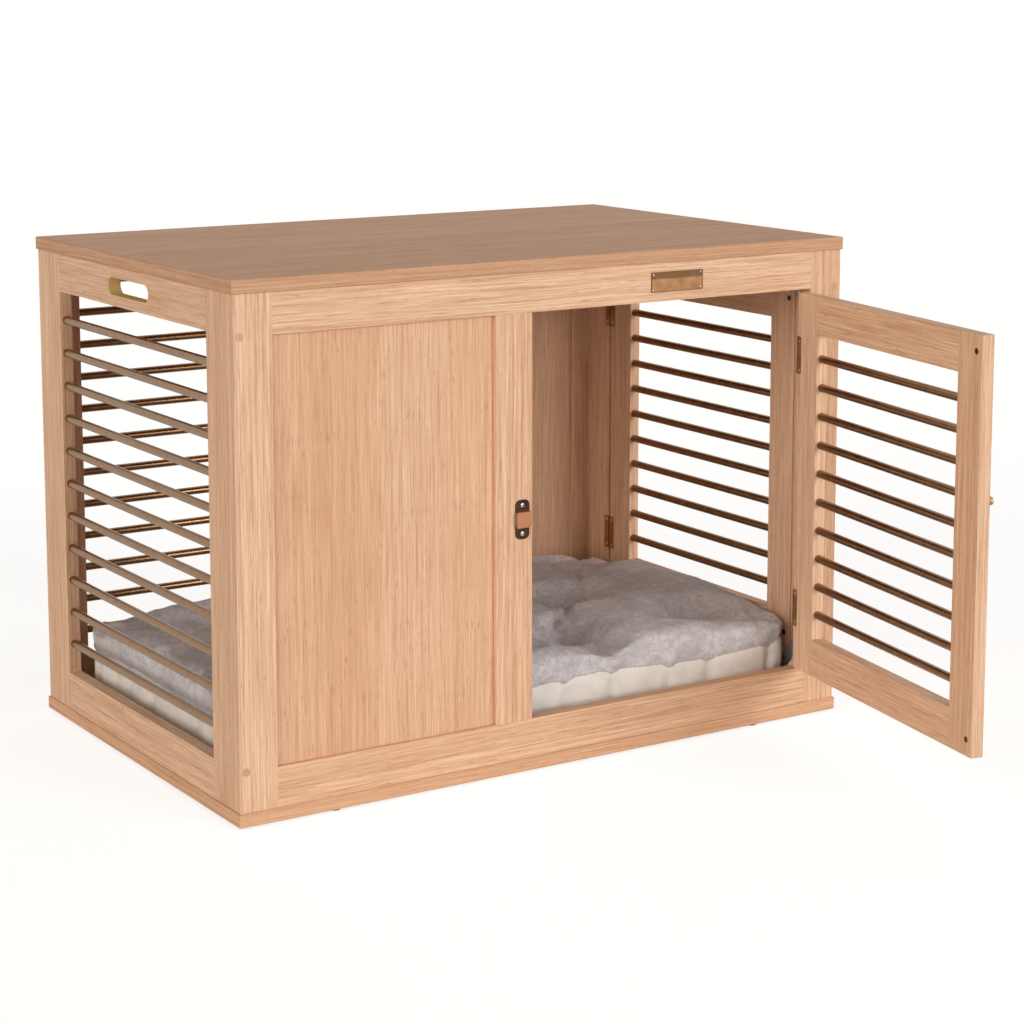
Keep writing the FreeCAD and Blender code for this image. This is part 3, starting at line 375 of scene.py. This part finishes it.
def facing(direction, at):
    """A matrix that turns z to a direction and moves to a place."""
    return Matrix.Translation(at) @ direction.normalized().to_track_quat("Z", "Y").to_matrix().to_4x4()


rod_bronze = metal("rod_bronze", linear(136, 104, 74), linear(152, 118, 86), roughness=0.30, spread=0.06)
ROD_RADIUS = 0.005
BAR_RADIUS = 0.0058
for side, body, run, count in (("back", "cabinet", X, 11), ("left", "cabinet", Y, 11),
                               ("front_door", "front_door", front_turn @ X, 10),
                               ("side_door", "side_door", Y, 10)):
    low, high = (Vector(corner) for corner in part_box(f"{side}_rods"))
    middle, half = (low + high) / 2, (high - low) / 2
    if side == "back":
        length = 2 * half.x
    else:
        length = 2 * (half.y - ROD_RADIUS * abs(run.x)) / abs(run.y)
    profile = [(0, -length / 2), (BAR_RADIUS, -length / 2), (BAR_RADIUS, length / 2), (0, length / 2)]
    bm = bmesh.new()
    for i in range(count):
        height = low.z + ROD_RADIUS + (high.z - low.z - 2 * ROD_RADIUS) * i / (count - 1)
        turned(bm, profile, facing(run, Vector((middle.x, middle.y, height))), steps=32)
    finished(f"{side}_bars", bm, [rod_bronze], body, [f"{side}_rods"], sharp=40)


# ---------------------------------------------------------------- hinges
# Bent bronze leaves on the boards' inner faces, with their knuckles outside the doorway's gap. Two
# small cross-headed screws hold each leaf, above and below its tab.
aged_bronze = metal("aged_bronze", linear(158, 122, 80), linear(196, 156, 110), roughness=0.42)
pale_steel = metal("pale_steel", linear(176, 174, 170), linear(206, 204, 200), roughness=0.28, spread=0.1)
# Dark boxes stand for the screws' cross recesses: painted shade.
painted_recess_shade = metal("painted_recess_shade", linear(24, 20, 18), linear(34, 28, 24), roughness=0.6, metallic=0.0)
for node_name in ("front_hinge_frame_leaves", "side_hinge_frame_leaves", "front_hinge_door_leaves",
                  "side_hinge_door_leaves", "front_hinge_pins", "side_hinge_pins"):
    dress(node_name, aged_bronze)


SCREW_RISE = 0.0008


def screw_head(bm, at, direction, radius, turn):
    """A low domed head with a cross of dark boxes, painted shade for its recess, whose faces have the second
    material.
    """
    place = facing(direction, at) @ Matrix.Rotation(turn, 4, "Z")
    profile = [(radius, -0.0002), (radius, SCREW_RISE * 0.25), (radius * 0.82, SCREW_RISE * 0.7),
               (radius * 0.5, SCREW_RISE), (0, SCREW_RISE)]
    turned(bm, profile, place, steps=20)
    for quarter in (0.0, math.pi / 2):
        made = bmesh.ops.create_cube(bm, size=1.0)["verts"]
        size = Matrix.Diagonal((radius * 1.15, radius * 0.22, SCREW_RISE * 0.5, 1.0))
        lift = Matrix.Translation((0, 0, SCREW_RISE * 0.8))
        bmesh.ops.transform(bm, matrix=place @ lift @ Matrix.Rotation(quarter, 4, "Z") @ size, verts=made)
        for face in {f for v in made for f in v.link_faces}:
            face.material_index = 1


def screws(name, spots, radius, body):
    """Like screws as one piece, each turned to its own angle. spots are (place, outward direction)."""
    bm = bmesh.new()
    for i, (at, direction) in enumerate(spots):
        screw_head(bm, at, direction, radius, turn=0.4 + 1.1 * i)
    finished(name, bm, [pale_steel, painted_recess_shade], body, sharp=50)


LEAF_HOLE_INSET = 0.006
LEAF_WIDE = 0.010
LEAF_HIGH = 0.054
LEAF_THICK = 0.0012
LEAF_SCREW = 0.0026
DOOR_THICK = 0.0176
PIN_OUT = 0.0033
HALF_GAP = 0.002
# Each door's name, its pin and how far it is turned from lying along x.
DOORS = [("front", Vector(frame["joints"][0]["pos_m"]), front_turn),
         ("side", Vector(frame["joints"][1]["pos_m"]), Matrix.Rotation(math.pi / 2, 3, "Z"))]


def leaf_screw_heights(low, high):
    """Four heights: above and below the tab of the lower and of the upper leaf."""
    for base in (low.z, high.z - LEAF_HIGH):
        yield base + LEAF_HOLE_INSET
        yield base + LEAF_HIGH - LEAF_HOLE_INSET


def on_door(pin, turn, along, inwards, height):
    """A place on a door: so far along it and inwards from its pin, at a height."""
    return turn @ Vector((along, inwards, 0)) + Vector((pin.x, pin.y, height))


for side, pin, turn in DOORS:
    low, high = (Vector(corner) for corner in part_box(f"{side}_hinge_frame_leaves"))
    spots = []
    for height in leaf_screw_heights(low, high):
        if side == "front":
            spots.append((Vector((high.x - LEAF_WIDE / 2, high.y, height)), Y))
        else:
            spots.append((Vector((low.x, high.y - LEAF_WIDE / 2, height)), -X))
    screws(f"{side}_hinge_frame_screws", spots, LEAF_SCREW, "cabinet")

    low, high = (Vector(corner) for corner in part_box(f"{side}_hinge_door_leaves"))
    along, inwards = -HALF_GAP - LEAF_WIDE / 2, PIN_OUT + DOOR_THICK + LEAF_THICK
    spots = [(on_door(pin, turn, along, inwards, height), turn @ Y)
             for height in leaf_screw_heights(low, high)]
    screws(f"{side}_hinge_door_screws", spots, LEAF_SCREW, f"{side}_door")


# ---------------------------------------------------------------- slide bolts, keepers and knobs
# Stamped dark bronze hardware: a guide and a flat bolt with a thumb knob on each door's outer face,
# a bridge keeper beside each doorway, and a small turned pull above the bolt.
front_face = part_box("front_left_stile")[0][1]
right_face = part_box("right_front_stile")[1][0]
PAINTED_KEEPER_HIGHLIGHT = linear(172, 120, 88)
KEEPER_DARK = linear(58, 42, 32)
KEEPER_LIGHT = linear(84, 60, 44)
KEEPER_RISE = 0.003
PLATE_THICK = 0.0012
KEEPER_HOLE_INSET = 0.0075
dark_bronze = metal("dark_bronze", linear(62, 44, 32), linear(92, 66, 46), roughness=0.3)
# The keepers' proud faces are coloured copper as a painted highlight.
dress("front_keeper", metal("front_keeper_bronze", KEEPER_DARK, KEEPER_LIGHT,
                            raised=("Y", front_face - KEEPER_RISE, PAINTED_KEEPER_HIGHLIGHT)))
dress("side_keeper", metal("side_keeper_bronze", KEEPER_DARK, KEEPER_LIGHT,
                           raised=("X", right_face + KEEPER_RISE, PAINTED_KEEPER_HIGHLIGHT)))
for side, outwards in (("front", -Y), ("side", X)):
    dress(f"{side}_bolt_guide", dark_bronze)
    dress(f"{side}_bolt", aged_bronze)
    low, high = (Vector(corner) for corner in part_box(f"{side}_keeper"))
    if side == "front":
        base = Vector(((low.x + high.x) / 2, high.y - PLATE_THICK, 0))
    else:
        base = Vector((low.x + PLATE_THICK, (low.y + high.y) / 2, 0))
    spots = [(base + Z * (low.z + KEEPER_HOLE_INSET), outwards),
             (base + Z * (high.z - KEEPER_HOLE_INSET), outwards)]
    screws(f"{side}_keeper_screws", spots, 0.0031, "cabinet")

# From the pin to the door's free edge, and what is set back from that edge.
DOOR_REACH = 0.472
GUIDE_SETBACK = 0.008
GUIDE_LONG = 0.038
GUIDE_HOLE_INSET = 0.0052
KNOB_INSET = 0.025
KNOB_PROFILE = [(0, 0), (0.0055, 0), (0.0055, 0.0015), (0.0050, 0.0024), (0.0036, 0.0030), (0.0029, 0.0045),
                (0.0029, 0.0095), (0.0034, 0.0112), (0.0050, 0.0132), (0.0059, 0.0156), (0.0060, 0.0172),
                (0.0054, 0.0189), (0.0036, 0.0198), (0, 0.0200)]
for side, pin, turn in DOORS:
    low, high = (Vector(corner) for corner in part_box(f"{side}_bolt_guide"))
    spots = []
    for inset in (GUIDE_HOLE_INSET, GUIDE_LONG - GUIDE_HOLE_INSET):
        for height in (low.z + GUIDE_HOLE_INSET, high.z - GUIDE_HOLE_INSET):
            along = GUIDE_SETBACK + inset - DOOR_REACH
            spots.append((on_door(pin, turn, along, PIN_OUT - PLATE_THICK, height), turn @ -Y))
    screws(f"{side}_guide_screws", spots, LEAF_SCREW, f"{side}_door")

    low, high = (Vector(corner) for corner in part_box(f"{side}_door_knob"))
    foot = on_door(pin, turn, KNOB_INSET - DOOR_REACH, PIN_OUT, (low.z + high.z) / 2)
    bm = bmesh.new()
    turned(bm, KNOB_PROFILE, facing(turn @ -Y, foot), steps=40)
    finished(f"{side}_pull_knob", bm, [aged_bronze], f"{side}_door", [f"{side}_door_knob"])


# ---------------------------------------------------------------- name plate
# A thin bronze plate over the doorway with four small pins, left bare. Its brushed face is darkened
# towards the top by a painted reflection, and its rolled edge is darker than the middle.
PLATE_PIN_INSET = 0.0036
PLATE_RIM = 0.0009
PAINTED_REFLECTION_FROM_TOP = 0.0110
PAINTED_REFLECTION_FULL_FROM_TOP = 0.0085


def plate_bronze(low, high):
    """Brushed bronze for a plate with these two corners."""
    material, w, shader = new_material("plate_bronze")
    place = w.add("TexCoord").outputs["Object"]
    streaks = w.noise(w.vector("MULTIPLY", place, (0.03, 1.0, 1.0)), 1800.0, 2.0, 0.6)
    clouds = w.noise(place, 70.0, 2.0, 0.5)
    colour = w.mix(w.range(clouds, 0.3, 0.7), linear(142, 106, 74), linear(164, 126, 90))
    side_x, _, side_z = w.split(place)[0:3]
    from_x = w.math("SUBTRACT", (high.x - low.x) / 2,
                    w.math("ABSOLUTE", w.math("SUBTRACT", side_x, (high.x + low.x) / 2)))
    from_z = w.math("SUBTRACT", (high.z - low.z) / 2,
                    w.math("ABSOLUTE", w.math("SUBTRACT", side_z, (high.z + low.z) / 2)))
    # Painted reflection: a dark band across the top of the plate's face.
    upper = w.range(side_z, high.z - PAINTED_REFLECTION_FROM_TOP, high.z - PAINTED_REFLECTION_FULL_FROM_TOP)
    colour = w.mix(w.math("MULTIPLY", upper, 0.75), colour, linear(92, 64, 48))
    rim = w.math("LESS_THAN", w.math("MINIMUM", from_x, from_z), PLATE_RIM)
    colour = w.mix(rim, colour, linear(112, 80, 54))
    w.feed(shader.inputs["Base Color"], colour)
    shader.inputs["Metallic"].default_value = 1.0
    w.feed(shader.inputs["Roughness"], w.range(streaks, 0.3, 0.7, 0.26, 0.40))
    relief(w, shader, streaks, 0.2, 0.0001)
    return material


low, high = (Vector(corner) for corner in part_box("name_plate"))
dress("name_plate", plate_bronze(low, high))
spots = [(Vector((x, low.y, z)), -Y) for x in (low.x + PLATE_PIN_INSET, high.x - PLATE_PIN_INSET)
         for z in (low.z + PLATE_PIN_INSET, high.z - PLATE_PIN_INSET)]
screws("name_plate_pins", spots, 0.0016, "cabinet")


# ---------------------------------------------------------------- door stops
# Grey enamelled steel triangles, two round-headed screws in each, behind the doorways' corners.
# The closing door's corners rest against them.
def paint(name, dark, light, roughness):
    """Enamel or plastic: the same cloudy tone without the metal, and with more grit."""
    return metal(name, dark, light, roughness, spread=0.1, scale=90.0, metallic=0.0, grit=0.15)


stop_grey = paint("stop_grey", linear(150, 150, 150), linear(172, 172, 172), 0.42)
STOP_LEG = 0.063
STOP_NEAR = 0.012
STOP_FAR = STOP_LEG - 2.2 * STOP_NEAR
for side, inwards in (("front", Y), ("side", -X)):
    dress(f"{side}_door_stops", stop_grey)
    low, high = (Vector(corner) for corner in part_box(f"{side}_door_stops"))
    spots = []
    for from_side, from_end in ((STOP_NEAR, STOP_FAR), (STOP_FAR, STOP_NEAR)):
        if side == "front":
            places = [Vector((x, high.y, 0)) for x in (low.x + from_side, high.x - from_side)]
        else:
            places = [Vector((low.x, y, 0)) for y in (low.y + from_side, high.y - from_side)]
        for place in places:
            spots.append((place + Z * (low.z + from_end), inwards))
            spots.append((place + Z * (high.z - from_end), inwards))
    screws(f"{side}_stop_screws", spots, 0.0036, "cabinet")


# ---------------------------------------------------------------- fittings and feet
# Oak-coloured plastic caps over the long frame screws, zinc cam locks in the top rails, black glides
# under the base, and two bronze studs inside each door's free corners, which meet the stops.
cap_brown = paint("cap_brown", linear(196, 150, 116), linear(206, 160, 126), 0.5)
glide_black = paint("glide_black", linear(26, 25, 24), linear(38, 36, 35), 0.6)
zinc = metal("zinc", linear(150, 150, 148), linear(184, 184, 180), roughness=0.4)
for node_name, material in (("screw_caps", cap_brown), ("floor_glides", glide_black), ("frame_screws", zinc),
                            ("cam_locks", zinc), ("cam_bolts", zinc), ("base_screws", zinc)):
    dress(node_name, material)

STUD_FROM_EDGE = 0.013
STUD_FROM_END = 0.022
STUD_PROFILE = [(0.0042, -0.0002), (0.0042, 0.0002), (0.0038, 0.0003), (0.0018, 0.0003), (0.0014, 0.0001),
                (0, 0.0001)]
for side, pin, turn in DOORS:
    low, high = (Vector(corner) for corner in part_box(f"{side}_door_latch_stile"))
    bm = bmesh.new()
    for height in (low.z + STUD_FROM_END, high.z - STUD_FROM_END):
        seat = on_door(pin, turn, STUD_FROM_EDGE - DOOR_REACH, PIN_OUT + DOOR_THICK, height)
        turned(bm, STUD_PROFILE, facing(turn @ Y, seat))
    finished(f"{side}_door_studs", bm, [dark_bronze], f"{side}_door")


# ---------------------------------------------------------------- cushion
# A filled pad that lies loose in the cabin: a grey plush top, tufted in staggered rows, and a band
# of cream cotton round the sides, gathered where it is sewn to the plush.
SEAM_HEIGHT = 0.106
CEILING = 0.1535
SIDE_CLEARANCE = 0.004
SIDE_PULL = 0.012
BLOCK_HIGH = 0.120
BLOCK_MIDDLE = 0.0625
BLOCK_EASE = 0.024
low, high = (Vector(corner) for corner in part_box("cushion"))
floor_z = low.z
centre = Vector(((low.x + high.x) / 2, (low.y + high.y) / 2, 0))
half_x, half_y = (high.x - low.x) / 2 - SIDE_CLEARANCE, (high.y - low.y) / 2 - SIDE_CLEARANCE
CORNER = 0.07


def outline_distance(x, y):
    """How far a point is inside the pad's plan, with round corners and sides that pull in."""
    side_x = half_x - SIDE_PULL * (1 - (y / half_y) ** 2) * 0.6
    side_y = half_y - SIDE_PULL * (1 - (x / half_x) ** 2) * 0.8
    inner_x, inner_y = side_x - CORNER, side_y - CORNER
    past = Vector((max(abs(x) - inner_x, 0), max(abs(y) - inner_y, 0)))
    return CORNER - past.length if past.length > 0 else CORNER + min(inner_x - abs(x), inner_y - abs(y))


TUFTS = [(x, y) for y in (-0.165, 0.165) for x in (-0.33, -0.11, 0.11, 0.33)]
TUFTS += [(x, 0.0) for x in (-0.22, 0.0, 0.22)]
TUFT_REACH = 0.042
TUFT_DEPTH = 0.040
SURFACE_ROLL = 0.008


def tuft_pull(x, y):
    """How strongly the nearest tuft draws a point down: 1 at the tuft, fading outwards."""
    pull = 0.0
    for i, (tuft_x, tuft_y) in enumerate(TUFTS):
        away = math.hypot(x - tuft_x - 0.01 * math.sin(3 * i), y - tuft_y)
        pull = max(pull, math.exp(-(away / TUFT_REACH) ** 1.2))
    return pull


pad_mesh = bpy.data.meshes.new("pad_form")
bm = bmesh.new()
made = bmesh.ops.create_cube(bm, size=1.0)["verts"]
bmesh.ops.transform(bm, matrix=Matrix.Diagonal((2 * half_x, 2 * half_y, BLOCK_HIGH, 1.0)), verts=made)
upright = [e for e in bm.edges if abs(e.verts[0].co.z - e.verts[1].co.z) > 0.01]
bmesh.ops.bevel(bm, geom=upright, offset=CORNER, offset_type="OFFSET", segments=8, profile=0.5,
                affect="EDGES", material=-1)
level = [e for e in bm.edges if abs(e.verts[0].co.z - e.verts[1].co.z) < 0.01]
bmesh.ops.bevel(bm, geom=level, offset=BLOCK_EASE, offset_type="OFFSET", segments=5, profile=0.5,
                affect="EDGES", material=-1)
lifted = Matrix.Translation((centre.x, centre.y, floor_z + BLOCK_MIDDLE))
bmesh.ops.transform(bm, matrix=lifted, verts=bm.verts)
bmesh.ops.recalc_face_normals(bm, faces=bm.faces)
bm.to_mesh(pad_mesh)
bm.free()
cushion = bpy.data.objects.new("plush_cushion", pad_mesh)
scene.collection.objects.link(cushion)
VOXEL = 0.008
remesh = cushion.modifiers.new("remesh", "REMESH")
remesh.mode = "VOXEL"
remesh.voxel_size = VOXEL


def apply_modifiers(piece):
    """Keeps what the modifiers make and removes them."""
    graph = bpy.context.evaluated_depsgraph_get()
    mesh = bpy.data.meshes.new_from_object(piece.evaluated_get(graph))
    piece.modifiers.clear()
    piece.data = mesh
    return mesh


mesh = apply_modifiers(cushion)
top_at = max(v.co.z for v in mesh.vertices)
held = cushion.vertex_groups.new(name="held")
for v in mesh.vertices:
    x, y = v.co.x - centre.x, v.co.y - centre.y
    if v.co.z > top_at - 0.012:
        pull = tuft_pull(x, y)
        v.co.z -= TUFT_DEPTH * pull - SURFACE_ROLL * noise.noise(Vector((x * 9, y * 9, 0)))
        if pull > 0.80:
            held.add([v.index], 1.0, "REPLACE")
    elif v.co.z < floor_z + 0.012:
        held.add([v.index], 0.8, "REPLACE")
rest = [v.co.copy() for v in mesh.vertices]
cloth = cushion.modifiers.new("cloth", "CLOTH")
settings = cloth.settings
settings.quality = 6
settings.mass = 0.2
settings.use_pressure = True
settings.uniform_pressure_force = 4.0
settings.tension_stiffness = 12
settings.compression_stiffness = 12
settings.shear_stiffness = 4
settings.bending_stiffness = 0.4
settings.shrink_min = -0.06
settings.vertex_group_mass = "held"
settings.effector_weights.gravity = 0.0
cloth.collision_settings.use_collision = False
for step in range(1, 21):
    scene.frame_set(step)
mesh = apply_modifiers(cushion)
scene.frame_set(1)
CAP = 0.024
for v, home in zip(mesh.vertices, rest):
    shift = v.co - home
    if shift.length > CAP:
        v.co = home + shift * (CAP / shift.length)
    x, y = v.co.x - centre.x, v.co.y - centre.y
    inside = outline_distance(x, y)
    if inside < 0:
        v.co.x -= math.copysign(min(abs(inside), 0.02), x) * (abs(x) / half_x) ** 4
        v.co.y -= math.copysign(min(abs(inside), 0.02), y) * (abs(y) / half_y) ** 4
    v.co.z = min(max(v.co.z, floor_z + 0.0006), CEILING)
subdivide = cushion.modifiers.new("subdivide", "SUBSURF")
subdivide.levels = subdivide.render_levels = 1
mesh = apply_modifiers(cushion)

# The seam, its gathers and the pile are pressed into the finished form.
FOLDS = [-0.41, -0.31, -0.19, -0.10, 0.04, 0.12, 0.22, 0.29, 0.40]
FOLD_WIDE = 0.009
CREASE_DEPTH = 0.0035
FOLD_DEPTH = 0.0055
GATHER_DEPTH = 0.0040
normals = [v.normal.copy() for v in mesh.vertices]
points = [v.co.copy() for v in mesh.vertices]
plush_values, places = [], []
for v, normal in zip(points, normals):
    x, y = v.x - centre.x, v.y - centre.y
    along = x if abs(x) / half_x < abs(y) / half_y else y
    fold = sum(math.exp(-((along - at) / FOLD_WIDE) ** 2) for at in FOLDS)
    seam = SEAM_HEIGHT + 0.004 * math.sin(17 * along) - 0.006 * fold
    above = v.z - seam
    plush_values.append(max(0.0, min(1.0, 0.5 + above / 0.04)))
    side = math.hypot(normal.x, normal.y)
    gather = noise.noise(Vector((x * 20, y * 20, v.z * 5)))
    gather += 0.4 * noise.noise(Vector((x * 60, y * 60, v.z * 12)))
    below = max(0.0, min(1.0, -above / 0.012))
    crease = math.exp(-(above / 0.004) ** 2)
    folded = fold * max(0.0, min(1.0, 0.4 - above / 0.03))
    dent = CREASE_DEPTH * crease + FOLD_DEPTH * folded - GATHER_DEPTH * gather * below
    moved = v - normal * (dent * side)
    if above > 0:
        moved += normal * (0.0012 * noise.noise(v * 140) + 0.0020 * noise.noise(v * 45))
    moved.z = min(max(moved.z, floor_z + 0.0004), CEILING)
    places.extend(moved)
mesh.vertices.foreach_set("co", places)
mesh.attributes.new("plush", "FLOAT", "POINT").data.foreach_set("value", plush_values)
mesh.update()
for polygon in mesh.polygons:
    polygon.use_smooth = True


def cushion_fabric():
    material, w, shader = new_material("cushion_fabric")
    place = w.add("TexCoord").outputs["Object"]
    pile = w.add("Attribute", attribute_name="plush").outputs["Fac"]
    edge = w.math("ADD", pile, w.math("MULTIPLY", w.math("SUBTRACT", w.noise(place, 400.0, 2.0), 0.5), 0.10))
    is_pile = w.math("GREATER_THAN", edge, 0.5)
    strands = w.noise(w.vector("MULTIPLY", place, (1.0, 0.6, 1.0)), 700.0, 3.0, 0.7)
    locks = w.noise(place, 120.0, 3.0, 0.65, 0.6)
    brushed = w.noise(place, 16.0, 3.0, 0.6, 0.4)
    grey = w.mix(w.range(brushed, 0.38, 0.62), linear(202, 199, 206), linear(238, 236, 242))
    grey = w.mix(w.range(locks, 0.42, 0.66, 0.0, 0.70), grey, linear(172, 168, 174))
    grey = w.mix(w.range(strands, 0.4, 0.65, 0.0, 0.5), grey, linear(250, 247, 248))
    weave = w.math("MULTIPLY", w.math("SINE", w.math("MULTIPLY", w.split(place)[2], 6000.0)), 0.5)
    aired = w.noise(place, 40.0, 3.0, 0.6)
    cream = w.mix(w.range(aired, 0.3, 0.7), linear(232, 227, 222), linear(244, 240, 236))
    stitch = w.math("LESS_THAN", w.math("ABSOLUTE", w.math("SUBTRACT", edge, 0.49)), 0.022)
    colour = w.mix(w.math("MULTIPLY", stitch, 0.45), w.mix(is_pile, cream, grey), linear(120, 108, 98))
    w.feed(shader.inputs["Base Color"], colour)
    w.feed(shader.inputs["Roughness"], w.range(is_pile, 0.0, 1.0, 0.85, 0.95))
    shader.inputs["Sheen Weight"].default_value = 0.35
    shader.inputs["Sheen Roughness"].default_value = 0.5
    pile_height = w.math("ADD", w.math("MULTIPLY", strands, 0.7), w.math("MULTIPLY", locks, 0.9))
    rumple = w.noise(place, 60.0, 2.0)
    cotton_height = w.math("ADD", w.math("MULTIPLY", weave, 0.05), w.math("MULTIPLY", rumple, 0.3))
    height = w.add("Mix", data_type="FLOAT")
    w.feed(height.inputs[0], is_pile)
    w.feed(height.inputs[2], cotton_height)
    w.feed(height.inputs[3], pile_height)
    relief(w, shader, height.outputs[0], 1.0, 0.0026)
    return material


mesh.materials.clear()
mesh.materials.append(cushion_fabric())
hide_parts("cushion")
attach(cushion, "cabinet")


# ---------------------------------------------------------------- studio
# A white floor and surround, three soft suns (in front to the right, warm from the left, weak from
# behind), and the camera near where the photograph was taken from.
def seen_rays(w):
    """1 for what the camera sees, also in a mirror or through glass, and 0 for light that falls."""
    rays = w.add("LightPath").outputs
    return w.math("MAXIMUM", w.math("MAXIMUM", rays["Is Camera Ray"], rays["Is Glossy Ray"]),
                  rays["Is Transmission Ray"])


floor_mesh = bpy.data.meshes.new("studio_floor")
bm = bmesh.new()
bmesh.ops.create_grid(bm, x_segments=1, y_segments=1, size=150.0)
bm.to_mesh(floor_mesh)
bm.free()
studio_floor = bpy.data.objects.new("studio_floor", floor_mesh)
scene.collection.objects.link(studio_floor)
floor_material, w, shader = new_material("studio_floor")
w.tree.nodes.remove(shader)
matte = w.add("BsdfDiffuse")
matte.inputs["Color"].default_value = (0.86, 0.86, 0.86, 1.0)
pale = w.add("BsdfDiffuse")
pale.inputs["Color"].default_value = (0.5, 0.5, 0.5, 1.0)
glow = w.add("Emission")
glow.inputs["Color"].default_value = (1.0, 1.0, 1.0, 1.0)
glow.inputs["Strength"].default_value = 0.76
both = w.add("AddShader")
w.feed(both.inputs[0], pale.outputs[0])
w.feed(both.inputs[1], glow.outputs[0])
choose = w.add("MixShader")
w.feed(choose.inputs[0], seen_rays(w))
w.feed(choose.inputs[1], matte.outputs[0])
w.feed(choose.inputs[2], both.outputs[0])
w.feed(w.tree.nodes["Material Output"].inputs["Surface"], choose.outputs[0])
floor_mesh.materials.append(floor_material)

world = bpy.data.worlds.new("studio")
scene.world = world
world.use_nodes = True
w = Wires(world.node_tree)
background = world.node_tree.nodes["Background"]
seen = seen_rays(w)
w.feed(background.inputs["Strength"], w.range(seen, 0.0, 1.0, 0.24, 1.0))
w.feed(background.inputs["Color"], w.mix(seen, (1.0, 0.93, 0.86, 1.0), (1.0, 1.0, 1.0, 1.0)))


def lamp(name, from_direction, softness, strength, colour):
    """A sun. The weak one from behind makes no highlights."""
    data = bpy.data.lights.new(name, "SUN")
    data.color = colour
    data.angle = math.radians(softness)
    data.energy = strength
    made = bpy.data.objects.new(name, data)
    made.rotation_euler = Vector(from_direction).to_track_quat("Z", "Y").to_euler()
    made.visible_glossy = name != "back"
    scene.collection.objects.link(made)


lamp("key", (0.35, -0.90, 0.20), 34.0, 1.88, (1.0, 0.995, 0.985))
lamp("fill", (-0.90, -0.42, 0.16), 50.0, 2.15, (1.0, 0.92, 0.82))
lamp("back", (0.72, 0.68, 0.10), 60.0, 0.60, (1.0, 0.96, 0.92))

CAMERA_TILT = 8.4
CAMERA_TURN = -32.7
camera_data = bpy.data.cameras.new("camera")
camera_data.sensor_width = 36.0
camera_data.lens = 86.4
camera_data.shift_y = -0.161
camera = bpy.data.objects.new("camera", camera_data)
camera.location = (-1.823, -3.035, 1.069)
camera.rotation_euler = Euler((math.radians(90 - CAMERA_TILT), 0.0, math.radians(CAMERA_TURN)), "XYZ")
scene.collection.objects.link(camera)
scene.camera = camera
scene.view_settings.view_transform = "Standard"
